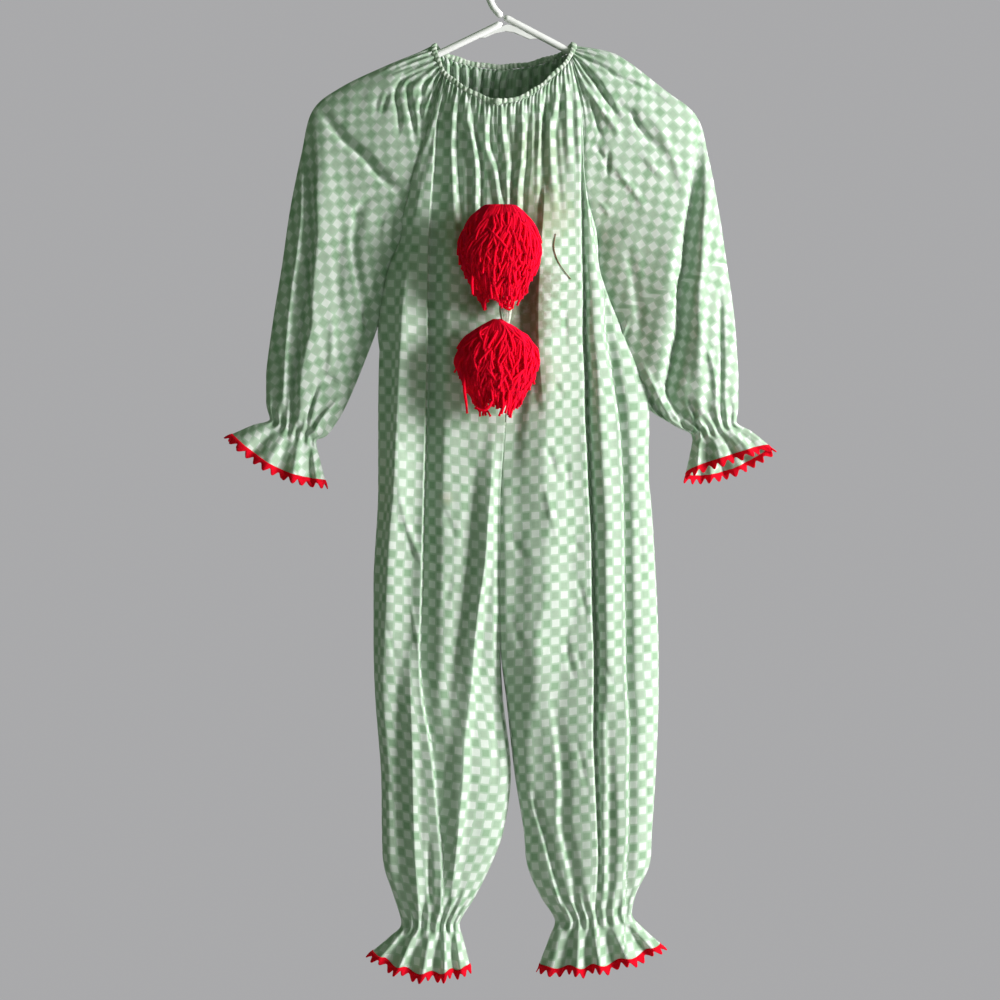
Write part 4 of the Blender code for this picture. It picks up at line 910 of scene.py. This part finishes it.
def casing_cloth(name):
    n = Nodes(name)
    uv = n.new("ShaderNodeUVMap").outputs[0]
    obj = n.new("ShaderNodeTexCoord").outputs["Object"]
    patch = n.noise(obj, 190.0, 2.0)
    fine = n.noise(obj, 900.0, 3.0)
    colour = n.mix(n.ramp(patch, (0.42, 0.0), (0.58, 1.0)), (0.30, 0.43, 0.30), (0.62, 0.68, 0.61))
    colour = n.mix(n.math("MULTIPLY", fine, 0.35), colour, (0.36, 0.40, 0.33))
    n.tree.links.new(colour, n.shader.inputs["Base Color"])
    n.shader.inputs["Roughness"].default_value = 0.9
    n.shader.inputs["Sheen Weight"].default_value = 0.1
    bump = n.new("ShaderNodeBump", Strength=0.4, Distance=0.0006)
    n.tree.links.new(fine, bump.inputs["Height"])
    n.tree.links.new(bump.outputs[0], n.shader.inputs["Normal"])
    return n.mat


def yarn(name, dark, light):
    n = Nodes(name)
    uv = n.new("ShaderNodeUVMap").outputs[0]
    split = n.new("ShaderNodeSeparateXYZ")
    n.tree.links.new(uv, split.inputs[0])
    along, round_ = split.outputs[1], split.outputs[0]
    ply = n.math("SINE", n.math("MULTIPLY", n.math("ADD", n.math("DIVIDE", along, 0.0042), round_), 2 * math.pi * 3))
    ply = n.math("MULTIPLY_ADD", ply, 0.5, 0.5)
    obj = n.new("ShaderNodeTexCoord").outputs["Object"]
    fuzz = n.noise(obj, 1400.0, 3.0, 0.7)
    patch = n.noise(obj, 60.0, 2.0)
    f = n.math("ADD", n.math("MULTIPLY", ply, 0.45), n.math("MULTIPLY", fuzz, 0.35))
    f = n.math("ADD", f, n.math("MULTIPLY", patch, 0.3), clamp=True)
    n.tree.links.new(n.mix(f, dark, light), n.shader.inputs["Base Color"])
    n.shader.inputs["Roughness"].default_value = 0.8
    n.shader.inputs["Sheen Weight"].default_value = 0.35
    n.shader.inputs["Sheen Roughness"].default_value = 0.5
    n.shader.inputs["Sheen Tint"].default_value = (1.0, 0.02, 0.04, 1.0)
    n.shader.inputs["Specular IOR Level"].default_value = 0.04
    n.shader.inputs["Subsurface Weight"].default_value = 0.4
    n.shader.inputs["Subsurface Radius"].default_value = (1.0, 0.4, 0.4)
    n.shader.inputs["Subsurface Scale"].default_value = 0.008
    height = n.math("ADD", n.math("MULTIPLY", ply, 0.7), n.math("MULTIPLY", fuzz, 0.3))
    bump = n.new("ShaderNodeBump", Strength=0.7, Distance=0.0005)
    n.tree.links.new(height, bump.inputs["Height"])
    n.tree.links.new(bump.outputs[0], n.shader.inputs["Normal"])
    return n.mat


def plastic(name):
    n = Nodes(name)
    obj = n.new("ShaderNodeTexCoord").outputs["Object"]
    wear = n.noise(obj, 55.0, 4.0, 0.6)
    fine = n.noise(obj, 700.0, 2.0)
    n.tree.links.new(n.mix(n.ramp(wear, (0.45, 0.0), (0.75, 1.0)), (0.82, 0.82, 0.83), (0.74, 0.74, 0.74)), n.shader.inputs["Base Color"])
    rough = n.math("ADD", n.math("MULTIPLY", wear, 0.18), 0.24)
    n.tree.links.new(rough, n.shader.inputs["Roughness"])
    bump = n.new("ShaderNodeBump", Strength=0.08, Distance=0.0004)
    n.tree.links.new(fine, bump.inputs["Height"])
    n.tree.links.new(bump.outputs[0], n.shader.inputs["Normal"])
    return n.mat


# the first seven spots, round and between the pompoms, are painted shade and painted shadow of the pompoms on the
# cloth; the last three small spots are real stains
CHECK = check_cloth("checked_cotton_look", stains_and_painted_shade=(
    ((24, -32, -372), 40, (0.13, 0.10, 0.06), 0.75),
    ((26, -32, -410), 34, (0.15, 0.12, 0.07), 0.65),
    ((-26, -32, -388), 26, (0.16, 0.15, 0.08), 0.55),
    ((-47, -30, -318), 34, (0.24, 0.25, 0.14), 0.45),
    ((38, -30, -292), 44, (0.28, 0.28, 0.16), 0.45),
    ((34, -30, -230), 40, (0.30, 0.33, 0.20), 0.30),
    ((30, -30, -470), 34, (0.24, 0.22, 0.14), 0.40),
    ((-62.6, -30, -600), 9, (0.42, 0.36, 0.22), 0.35),
    ((153, -20, -577), 8, (0.45, 0.38, 0.24), 0.35),
    ((64, -30, -1112), 9, (0.40, 0.33, 0.20), 0.4)))
CHECK_BIAS = CHECK
CASING = casing_cloth("casing_cotton_look")
YARN = yarn("red_yarn_look", (0.86, 0.0, 0.010), (1.0, 0.003, 0.030))
TRIM = yarn("red_rickrack_look", (0.50, 0.001, 0.008), (0.80, 0.004, 0.020))
WHITE = plastic("white_plastic_look")

# -------------------------------------------------------------- cloth pieces
pieces = {}
grids = {}
for rows, side, word in ((LEFT_HALF, -1, "left"), (RIGHT_HALF, 1, "right")):
    for face, which in ((-1, "front"), (1, "back")):
        mesh, P = body_sheet("cloth_%s_%s" % (which, word), rows, side, face)
        grids[which, side] = P
        obj = place("cloth_%s_%s" % (which, word), mesh, CHECK)
        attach(obj, "root")
        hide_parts("%s_%s" % (which, word))
        pieces[which, side] = obj
for rows, side, word, folds in ((LEFT_SLEEVE, -1, "left", (SLEEVE_LEFT, [])), (RIGHT_SLEEVE, 1, "right", (SLEEVE_RIGHT, []))):
    mesh, P = sleeve_sheet("cloth_sleeve_" + word, rows, side, folds)
    grids["sleeve", side] = P
    obj = place("cloth_sleeve_" + word, mesh, CHECK_BIAS)
    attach(obj, "root")
    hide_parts("sleeve_" + word)
    pieces["sleeve", side] = obj


def one_side_out(obj, P):
    """Turns the mesh so that its first layer is the outside of the garment."""
    mesh = obj.data
    mesh.update()
    n = np.zeros(len(mesh.polygons) * 3)
    c = np.zeros(len(mesh.polygons) * 3)
    mesh.polygons.foreach_get("normal", n)
    mesh.polygons.foreach_get("center", c)
    n, c = n.reshape(-1, 3), c.reshape(-1, 3)
    if (n[:, 1] * np.sign(c[:, 1])).sum() < 0:
        mesh.flip_normals()


for key, obj in pieces.items():
    one_side_out(obj, grids[key])


# ---------------------------------------------------------------- neck casing
def tube_mesh(name, centres, ups, sides, profile, closed=True, uv_scale=1.0):
    """Sweeps a profile (function of position number and angle -> offsets along up and across)."""
    n = len(centres)
    ahead = np.roll(centres, -1, 0) - np.roll(centres, 1, 0)
    if not closed:
        ahead[0] = centres[1] - centres[0]
        ahead[-1] = centres[-1] - centres[-2]
    ahead /= np.linalg.norm(ahead, axis=1, keepdims=True)
    across = np.cross(ups, ahead)
    across /= np.linalg.norm(across, axis=1, keepdims=True)
    s = np.r_[0, np.cumsum(np.linalg.norm(np.diff(centres, axis=0), axis=1))]
    verts = []
    for k in range(n):
        for j in range(sides):
            a, b = profile(k, s[k], 2 * math.pi * j / sides)
            verts.append(centres[k] + ups[k] * a + across[k] * b)
    faces, uvs = [], []
    last = n if closed else n - 1
    for k in range(last):
        m = (k + 1) % n
        s1 = s[k + 1] if k + 1 < n else s[k] + (s[k] - s[k - 1])
        for j in range(sides):
            i = (j + 1) % sides
            faces.append((k * sides + j, k * sides + i, m * sides + i, m * sides + j))
            uvs += [(j / sides, s[k] * MM), ((j + 1) / sides, s[k] * MM), ((j + 1) / sides, s1 * MM), (j / sides, s1 * MM)]
    if not closed:
        faces.append(tuple(range(sides)))
        faces.append(tuple((n - 1) * sides + j for j in reversed(range(sides))))
        uvs += [(0.5, 0)] * sides + [(0.5, s[-1] * MM)] * sides
    mesh = bpy.data.meshes.new(name)
    mesh.from_pydata([tuple(v * MM) for v in verts], [], faces)
    layer = mesh.uv_layers.new(name="UVMap")
    layer.data.foreach_set("uv", np.array(uvs, np.float32).ravel())
    mesh.validate()
    mesh.update()
    mesh.shade_smooth()
    return mesh


def outward(mesh):
    import bmesh
    bm = bmesh.new()
    bm.from_mesh(mesh)
    bmesh.ops.recalc_face_normals(bm, faces=bm.faces)
    bm.to_mesh(mesh)
    bm.free()


count = 760
tt = np.arange(count) * len(NECK_RING) / count
middle, fall = ring_frame(tt)


def casing_profile(k, s, a):
    way = s / 5.4 + 0.34 * math.sin(s / 8.3) + 0.22 * math.sin(s / 19.0 + 1.0)
    ruck = (0.5 + 0.5 * math.sin(2 * math.pi * way)) ** 0.7
    size = 0.75 + 0.25 * math.sin(s / 6.1 + 2.0) + 0.12 * math.sin(s / 2.9)
    c, d = math.cos(a), math.sin(a)
    w = CASING_WIDTH / 2 * (0.90 + 0.22 * ruck * size + 0.10 * math.sin(s / 7.0))
    h = CASING_THICK / 2 * (0.50 + 0.95 * ruck * size)
    return w * math.copysign(abs(c) ** 0.7, c) + 0.5 * math.sin(s / 5.0), h * math.copysign(abs(d) ** 0.8, d)


mesh = tube_mesh("neck_casing_look", middle, fall, 14, casing_profile)
outward(mesh)
casing = place("neck_casing_look", mesh, CASING, solid=0)
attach(casing, "root")
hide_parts("neck_casing")


# ------------------------------------------------------------------- rickrack
def hem_line(grids_front, grids_back):
    """The hem all the way round, and the direction in which the cloth falls there."""
    f, b = grids_front, grids_back
    loop = np.concatenate([f[-1], b[-1][::-1]])
    above = np.concatenate([f[-6], b[-6][::-1]])
    keep = np.r_[True, np.linalg.norm(np.diff(loop, axis=0), axis=1) > 0.05]
    return loop[keep], above[keep]


def resample(points, others, pitch):
    closed = np.concatenate([points, points[:1]])
    s = np.r_[0, np.cumsum(np.linalg.norm(np.diff(closed, axis=0), axis=1))]
    n = int(round(s[-1] / pitch))
    want = np.linspace(0, s[-1], n, endpoint=False)
    more = np.concatenate([others, others[:1]])
    a = np.stack([np.interp(want, s, closed[:, k]) for k in range(3)], 1)
    b = np.stack([np.interp(want, s, more[:, k]) for k in range(3)], 1)
    return a, b, want, s[-1]


def rickrack(name, node, front, back):
    loop, above = hem_line(front, back)
    P, A, s, total = resample(loop, above, 0.9)
    fall = P - A
    fall /= np.linalg.norm(fall, axis=1, keepdims=True)
    for _ in range(6):
        fall = 0.5 * fall + 0.25 * (np.roll(fall, 1, 0) + np.roll(fall, -1, 0))
    fall /= np.linalg.norm(fall, axis=1, keepdims=True)
    waves = round(total / 12.2)
    phase = 2 * math.pi * waves * s / total
    wave = np.sin(phase + 0.5 * np.sin(s / 23.0))
    middle = P + fall * (2.6 + 2.3 * wave)[:, None]
    across = np.linspace(-1, 1, 7)
    half = 3.9
    ahead = np.roll(P, -1, 0) - np.roll(P, 1, 0)
    normal = np.cross(fall, ahead)
    normal /= np.linalg.norm(normal, axis=1, keepdims=True)
    rows = []
    for a in across:
        crown = 0.5 * (1 - a * a)
        reach = -0.6 + (0.5 + 0.5 * a) * (7.2 + 3.0 * wave)
        rows.append(P + fall * reach[:, None] + normal * crown)
    G = np.stack(rows, 1)
    n, m = G.shape[:2]
    faces, uvs = [], []
    for k in range(n):
        q = (k + 1) % n
        for j in range(m - 1):
            faces.append((k * m + j, q * m + j, q * m + j + 1, k * m + j + 1))
            s0, s1 = s[k] * MM, (s[k] + 0.9) * MM
            uvs += [(j / m, s0), (j / m, s1), ((j + 1) / m, s1), ((j + 1) / m, s0)]
    mesh = bpy.data.meshes.new(name)
    mesh.from_pydata((G.reshape(-1, 3) * MM).tolist(), [], faces)
    layer = mesh.uv_layers.new(name="UVMap")
    layer.data.foreach_set("uv", np.array(uvs, np.float32).ravel())
    mesh.update()
    mesh.shade_smooth()
    obj = place(name, mesh, TRIM, solid=1.0, offset=0.0)
    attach(obj, "root")
    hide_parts(node)
    return obj


trims = {}
for side, word in ((-1, "left"), (1, "right")):
    trims["ankle", side] = rickrack("rickrack_ankle_" + word, "trim_ankle_" + word, grids["front", side], grids["back", side])
    G = grids["sleeve", side]
    mid = (G.shape[1] - 1) // 2
    trims["wrist", side] = rickrack("rickrack_wrist_" + word, "trim_wrist_" + word, G[:, :mid + 1][:, ::-1], G[:, mid:][:, ::1])


# -------------------------------------------------------------------- pompoms
def strands(name, node, lines, radius, sides=5):
    """Many yarn ends as one mesh; each line is an array of points."""
    verts, faces, uvs = [], [], []
    for line, r in zip(lines, radius):
        n = len(line)
        t = np.gradient(line, axis=0)
        t /= np.linalg.norm(t, axis=1, keepdims=True) + 1e-9
        ref = np.array([0.3, 1.0, 0.2])
        a = np.cross(t, ref)
        a /= np.linalg.norm(a, axis=1, keepdims=True) + 1e-9
        b = np.cross(t, a)
        s = np.r_[0, np.cumsum(np.linalg.norm(np.diff(line, axis=0), axis=1))]
        base = len(verts)
        for k in range(n):
            f = k / (n - 1)
            rr = r * (0.8 + 0.25 * math.sin(math.pi * min(1, f * 1.3)) + (0.12 if k == n - 1 else 0))
            for j in range(sides):
                w = 2 * math.pi * j / sides
                verts.append(line[k] + a[k] * (rr * math.cos(w)) + b[k] * (rr * math.sin(w)))
        for k in range(n - 1):
            for j in range(sides):
                i = (j + 1) % sides
                p, q = base + k * sides, base + (k + 1) * sides
                faces.append((p + j, p + i, q + i, q + j))
                uvs += [(j / sides, s[k] * MM), ((j + 1) / sides, s[k] * MM), ((j + 1) / sides, s[k + 1] * MM), (j / sides, s[k + 1] * MM)]
        faces.append(tuple(base + j for j in reversed(range(sides))))
        faces.append(tuple(base + (n - 1) * sides + j for j in range(sides)))
        uvs += [(0.5, 0)] * (2 * sides)
    mesh = bpy.data.meshes.new(name)
    mesh.from_pydata((np.array(verts) * MM).tolist(), [], faces)
    layer = mesh.uv_layers.new(name="UVMap")
    layer.data.foreach_set("uv", np.array(uvs, np.float32).ravel())
    mesh.update()
    mesh.shade_smooth()
    outward(mesh)
    obj = place(name, mesh, YARN, solid=0)
    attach(obj, "root")
    if node:
        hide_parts(node)
    return obj


def puff(middle, outline, seed, count, swirl, lowest):
    """Yarn that is tied at the top, combed down all round a squat ball and cut in a ragged fringe.

    The outline lists heights and half widths from the tie down."""
    rng = np.random.default_rng(seed)
    heights, widths = np.array(outline, float).T
    top = heights[0]
    lines, radii = [], []
    g = np.linspace(0, 1, 15)
    for k in range(count):
        turn = math.radians(-100 + 200 * ((k * 0.6180339887) % 1.0))
        layer = 0.78 + 0.22 * math.sqrt((k + 0.5) / count)
        last = top + (lowest - top) * (0.42 + 0.58 * rng.random() ** 0.5)
        z = top + (last - top) * g ** 1.25
        half = np.interp(-z, -heights, widths)
        half = np.convolve(np.pad(half, 1, mode="edge"), (0.25, 0.5, 0.25), mode="valid")
        # the yarn lies in locks that lean together
        lock = 0.15 * math.sin(9.0 * turn + seed) + 0.09 * math.sin(17.0 * turn + 2.0 * seed)
        way = (turn + swirl * np.sin(math.pi * g * 0.8) + lock * np.sin(math.pi * g * 0.75)
               + rng.normal(0, 0.10) * np.sin(3.1 * g) + rng.normal(0, 0.05) * np.sin(7.3 * g))
        flick = rng.normal(0.8, 2.4) * np.clip((g - 0.72) / 0.28, 0, 1) ** 2
        line = np.stack([middle[0] + np.sin(way) * (half * layer + flick),
                         middle[1] - np.cos(way) * (half * 0.50 * layer + 3.0 + flick),
                         z - (1 - layer) * 6.0], 1)
        line[:, 0] += rng.normal(0, 1.1) * np.sin(8 * g + rng.random() * 6) * g
        line[:, 1] = np.minimum(line[:, 1], -33.6 - 1.5 * rng.random())
        line[:, 1] = np.maximum(line[:, 1], -75.5)
        lines.append(line)
        radii.append(1.30 + 0.45 * rng.random())
    # a dense heart, so that no cloth shows between the ends
    for k in range(26):
        turn = math.radians(-80 + 160 * k / 25)
        z = np.linspace(top - 6.0, lowest + 13.0 + 9.0 * rng.random(), 15)
        half = np.interp(-z, -heights, widths) * 0.62
        lines.append(np.stack([middle[0] + np.sin(turn) * half,
                               np.minimum(middle[1] - np.cos(turn) * (half * 0.30 + 1.0), -39.0), z], 1))
        radii.append(3.5)
    # shorter ends that stand off the surface at every height
    for k in range(count // 2):
        turn = math.radians(-92 + 184 * ((k * 0.7548776662) % 1.0))
        z0 = top + (lowest - top) * (0.06 + 0.80 * rng.random())
        half = float(np.interp(-z0, -heights, widths))
        size = 13.0 + 13.0 * rng.random()
        drift = rng.normal(-0.18, 0.42)
        f = np.linspace(0, 1, 8)
        z = z0 - size * f * (0.72 + 0.28 * f)
        out = np.interp(-z, -heights, widths) * 0.97 + 3.4 * np.sin(math.pi * f * 0.6) * rng.random() + 0.8
        way = turn + drift * f * size / max(half, 12.0)
        line = np.stack([middle[0] + np.sin(way) * out,
                         middle[1] - np.cos(way) * (out * 0.52 + 3.5), z], 1)
        line[:, 1] = np.clip(line[:, 1], -77.0, -33.8)
        lines.append(line)
        radii.append(1.25 + 0.4 * rng.random())
    return lines, radii


def from_chart(rows):
    return [(EYE_Z + (500.0 - row) * STEP * 0.98, half * STEP * 0.98) for row, half in rows]


upper, upper_r = puff((-5.4, -50.0), from_chart(((206, 14), (209, 20), (216, 27), (227, 34), (242, 39), (254, 40), (266, 36), (278, 31),
                                                (290, 24), (304, 15))), 5, 430, -0.20, -602.1 + (500 - 302) * 1.058)
lower, lower_r = puff((-8.5, -50.0), from_chart(((320, 3), (323, 9), (328, 18), (336, 29), (348, 38), (362, 40), (374, 37), (386, 31),
                                                (397, 23), (412, 15))), 9, 430, 0.10, -602.1 + (500 - 409) * 1.058)


def loose(*points):
    p = np.array(points, float)
    d = np.linspace(0, 1, len(p))
    t = np.linspace(0, 1, 11)
    k = Fold._curve
    return np.stack([k(d, p[:, i], t) for i in range(3)], 1)


lower += [loose((-43, -62, -465), (-43, -64, -485), (-41, -63, -500), (-40, -62, -511)),
          loose((-14, -66, -490), (-15, -69, -501), (-22, -69, -508), (-32, -67, -505)),
          loose((-3, -68, -490), (-2, -70, -503), (-4, -70, -512)),
          loose((4, -68, -486), (3, -70, -500), (0, -70, -511))]
lower_r += [1.6] * 4
upper += [loose((-34, -62, -360), (-35, -66, -375), (-34, -66, -386)),
          loose((-12, -66, -365), (-10, -69, -382), (-8, -68, -389))]
upper_r += [1.6] * 2
strands("pompom_upper_yarn", "pompom_upper", upper, upper_r)
strands("pompom_lower_yarn", "pompom_lower", lower, lower_r)

# the pinch of cloth and the red loops that hold the lower pompom
pinch = []
for k in range(5):
    a = -0.6 + 0.3 * k
    pinch.append(loose((0.4 + 9 * a, -35, -384), (0.4 + 7.5 * a, -43, -396), (0.6 + 6 * a, -50, -408), (0.6 + 3 * a, -52, -417)))
tuck = strands("pinch_cloth", None, pinch, [2.5] * 5)
tuck.data.materials.clear()
tuck.data.materials.append(CASING)


def on_front(column, line):
    """A point just off the front right panel where the view shows it."""
    x, z = EYE_X + (column - 500.0) * STEP * 0.985, EYE_Z + (500.0 - line) * STEP * 0.985
    points = grids["front", 1].reshape(-1, 3)
    k = int(np.argmin(np.hypot(points[:, 0] - x, points[:, 2] - z)))
    return (x, float(points[k, 1]) - 0.9, z)


# a stray sewing thread beside the upper pompom
THREAD = yarn("stray_thread_look", (0.09, 0.09, 0.045), (0.16, 0.15, 0.08))
stray = strands("stray_thread", None, [loose(*[on_front(c, r) for c, r in ((556, 233), (554, 246), (557, 258), (563, 268), (571, 278))])],
                [0.55])
stray.data.materials.clear()
stray.data.materials.append(THREAD)
knots = [loose((-9, -50, -389), (-2, -56, -397), (5, -55, -401), (9, -50, -394)),
         loose((-8, -46, -386), (-1, -54, -394), (6, -52, -397), (9, -46, -390)),
         loose((-2, -46, -378), (4, -53, -386), (9, -50, -388))]
knot = strands("pompom_tie_yarn", None, knots, [1.5] * 3)

# --------------------------------------------------------------- neck button
ring_mid, _ = ring_frame(np.array([3.0]))
bx, by, bz = ring_mid[0]
prof = [(0.0, 1.9), (1.5, 1.85), (2.9, 1.4), (3.8, 0.6), (4.15, -0.3), (4.0, -1.1), (3.4, -1.5), (0.0, -1.5)]
verts, faces, uvs = [], [], []
seg = 32
for r, h in prof:
    for k in range(seg):
        w = 2 * math.pi * k / seg
        ruck = 1 + 0.03 * math.sin(6 * w) * (r / 4.0)
        verts.append(((bx + r * ruck * math.cos(w)) * MM, (by - CASING_THICK / 2 - SEAM - 1.5 - 0.6 - h) * MM, (bz - 1.0 + r * ruck * math.sin(w)) * MM))
for j in range(len(prof) - 1):
    for k in range(seg):
        q = (k + 1) % seg
        faces.append((j * seg + k, j * seg + q, (j + 1) * seg + q, (j + 1) * seg + k))
mesh = bpy.data.meshes.new("neck_button_look")
mesh.from_pydata(verts, [], faces)
import bmesh
bm = bmesh.new()
bm.from_mesh(mesh)
bmesh.ops.remove_doubles(bm, verts=bm.verts, dist=1e-6)
bmesh.ops.recalc_face_normals(bm, faces=bm.faces)
uvl = bm.loops.layers.uv.new("UVMap")
for f in bm.faces:
    for l in f.loops:
        l[uvl].uv = (l.vert.co.x, l.vert.co.z)
bm.to_mesh(mesh)
bm.free()
mesh.shade_smooth()
button = place("neck_button_look", mesh, CASING, solid=0)
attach(button, "root")
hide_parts("neck_button")


# ----------------------------------------------------------------- the hanger
def smooth_path(points, per=8):
    p = np.array(points, float)
    d = np.r_[0, np.cumsum(np.linalg.norm(np.diff(p, axis=0), axis=1))]
    t = np.linspace(0, d[-1], max(8, int(d[-1] / per)))
    return np.stack([Fold._curve(d, p[:, i], t) for i in range(p.shape[1])], 1)


def hanger_tube(name, node, points, radius=TUBE_RADIUS, ends=True):
    p = smooth_path(points, 3.0)
    c = np.stack([p[:, 0], np.zeros(len(p)), p[:, 1]], 1)
    up = np.tile(np.array([0.0, 1.0, 0.0]), (len(c), 1))
    n = len(c)
    s = np.r_[0, np.cumsum(np.linalg.norm(np.diff(c, axis=0), axis=1))]

    def profile(k, d, a):
        r = radius
        e = min(s[k], s[-1] - s[k]) if ends else 99
        if e < radius:
            r = radius * math.sqrt(max(0.02, 1 - (1 - e / radius) ** 2)) if ends else radius
        return r * math.cos(a), r * math.sin(a)

    mesh = tube_mesh(name, c, up, 20, profile, closed=False)
    outward(mesh)
    obj = place(name, mesh, WHITE, solid=0)
    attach(obj, "root")
    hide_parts(node)
    return obj


ARM_LEFT = [(-7.0, -89.0), (-70.0, -119.6), (-130.0, -148.8), (-182.0, -174.0)]
ARM_RIGHT = [(-2.0, -80.0), (70.0, -118.0), (130.0, -149.6), (177.0, -174.5)]
BAR = [(-189.5, -177.8), (-197.0, -182.5), (-198.5, -187.5), (-193.0, -192.0), (-184.0, -193.5), (0.0, -194.0),
       (178.0, -194.0), (187.0, -192.5), (192.0, -188.0), (190.5, -182.8), (184.0, -178.4)]
STEM = [(-6.5, -77.0), (-11.5, -71.5), (-15.5, -64.0), (-19.5, -52.0), (-22.5, -38.0)]
hanger_tube("hanger_arm_left_look", "hanger_arm_left", [(-3.0, -87.0)] + ARM_LEFT + [(-189.0, -177.5)])
hanger_tube("hanger_arm_right_look", "hanger_arm_right", ARM_RIGHT + [(183.5, -177.8)])
hanger_tube("hanger_bar_look", "hanger_bar", BAR)
arc = [math.radians(a) for a in range(202, -36, -14)]
hook_middle = -(HOOK_RADIUS - TUBE_RADIUS)
hanger_tube("hanger_hook_look", "hanger_hook",
            [(-3.0, -81.0)] + STEM + [(HOOK_RADIUS * math.cos(a), hook_middle + HOOK_RADIUS * math.sin(a)) for a in arc])
outline = [(-30.0, -103.5), (-22.0, -97.0), (-8.0, -92.5), (2.0, -88.5), (12.0, -91.0), (24.0, -98.0), (36.0, -104.0),
           (26.0, -104.5), (10.0, -97.5), (0.0, -96.0), (-12.0, -98.5), (-22.0, -103.0)]
verts = [(x * MM, y * MM, z * MM) for y in (-1.5, 1.5) for x, z in outline]
m = len(outline)
faces = [tuple(range(m)), tuple(reversed(range(m, 2 * m)))] + [(k, m + k, m + (k + 1) % m, (k + 1) % m) for k in range(m)]
mesh = bpy.data.meshes.new("hanger_web_look")
mesh.from_pydata(verts, [], faces)
outward(mesh)
web = place("hanger_web_look", mesh, WHITE, solid=0)
bevel = web.modifiers.new("round", "BEVEL")
bevel.width = 0.0006
bevel.segments = 2
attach(web, "root")
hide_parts("hanger_web")


# --------------------------------------------------------------- cloth areas
def layer_area(obj):
    a = np.zeros(len(obj.data.polygons))
    obj.data.polygons.foreach_get("area", a)
    return float(a.sum())


for (which, side), obj in pieces.items():
    word = "left" if side < 0 else "right"
    print("AREA", which, side, round(layer_area(obj), 4))

# ------------------------------------------------------- floor, light, camera
floor_mesh = bpy.data.meshes.new("floor")
ring = [(2.6 * math.cos(2 * math.pi * k / 96), 2.6 * math.sin(2 * math.pi * k / 96), -1.86) for k in range(96)]
floor_mesh.from_pydata(ring, [], [tuple(range(96))])
floor = bpy.data.objects.new("floor", floor_mesh)
bpy.context.scene.collection.objects.link(floor)
n = Nodes("floor_paint")
n.shader.inputs["Base Color"].default_value = (0.62, 0.62, 0.61, 1)
n.shader.inputs["Roughness"].default_value = 0.8
floor_mesh.materials.append(n.mat)

world = bpy.data.worlds.new("studio")
bpy.context.scene.world = world
world.use_nodes = True
# paler behind the garment and dimmer in front of it
wt = world.node_tree
back = wt.nodes["Background"]
way = wt.nodes.new("ShaderNodeSeparateXYZ")
wt.links.new(wt.nodes.new("ShaderNodeTexCoord").outputs["Generated"], way.inputs[0])
span = wt.nodes.new("ShaderNodeMapRange")
span.interpolation_type = "SMOOTHSTEP"
for key, value in (("From Min", 0.5), ("From Max", 0.93), ("To Min", 0.175), ("To Max", 0.42)):
    span.inputs[key].default_value = value
wt.links.new(way.outputs[1], span.inputs["Value"])
wt.links.new(span.outputs["Result"], back.inputs[1])
tint = wt.nodes.new("ShaderNodeMapRange")
tint.interpolation_type = "SMOOTHSTEP"
tint.inputs["From Min"].default_value = 0.5
tint.inputs["From Max"].default_value = 0.93
wt.links.new(way.outputs[1], tint.inputs["Value"])
hue = wt.nodes.new("ShaderNodeMix")
hue.data_type = "RGBA"
hue.inputs[6].default_value = (0.69, 1.0, 0.61, 1)
hue.inputs[7].default_value = (0.95, 0.95, 0.97, 1)
wt.links.new(tint.outputs["Result"], hue.inputs[0])
wt.links.new(hue.outputs[2], back.inputs[0])


def area_light(name, where, aim, size, power, colour=(1, 1, 1)):
    data = bpy.data.lights.new(name, "AREA")
    data.shape = "RECTANGLE"
    data.size, data.size_y = size
    data.energy = power
    data.color = colour
    obj = bpy.data.objects.new(name, data)
    obj.location = where
    obj.rotation_euler = (Vector(aim) - Vector(where)).to_track_quat("-Z", "Y").to_euler()
    bpy.context.scene.collection.objects.link(obj)
    return obj


area_light("key", (2.1, -0.95, -0.15), (0.0, 0.0, -0.6), (0.7, 1.0), 107, (1.0, 0.975, 0.97))
area_light("behind", (0.9, 2.5, 0.5), (0.0, 0.0, -0.6), (1.4, 1.4), 34, (1.0, 0.99, 0.97))
area_light("fill", (0.9, -2.4, -0.2), (0.0, 0.0, -0.6), (1.6, 1.6), 2.2, (0.95, 0.97, 1.0))

camera = bpy.data.cameras.new("camera")
camera.sensor_width = 36.0
camera.lens = 36.0 * 2.5 / (1000 * STEP * MM)
eye = bpy.data.objects.new("camera", camera)
eye.location = (EYE_X * MM, EYE_Y * MM, EYE_Z * MM)
eye.rotation_euler = (math.pi / 2, 0.0, 0.0)
bpy.context.scene.collection.objects.link(eye)
bpy.context.scene.camera = eye
bpy.context.scene.view_settings.view_transform = "Standard"

bpy.context.view_layer.update()
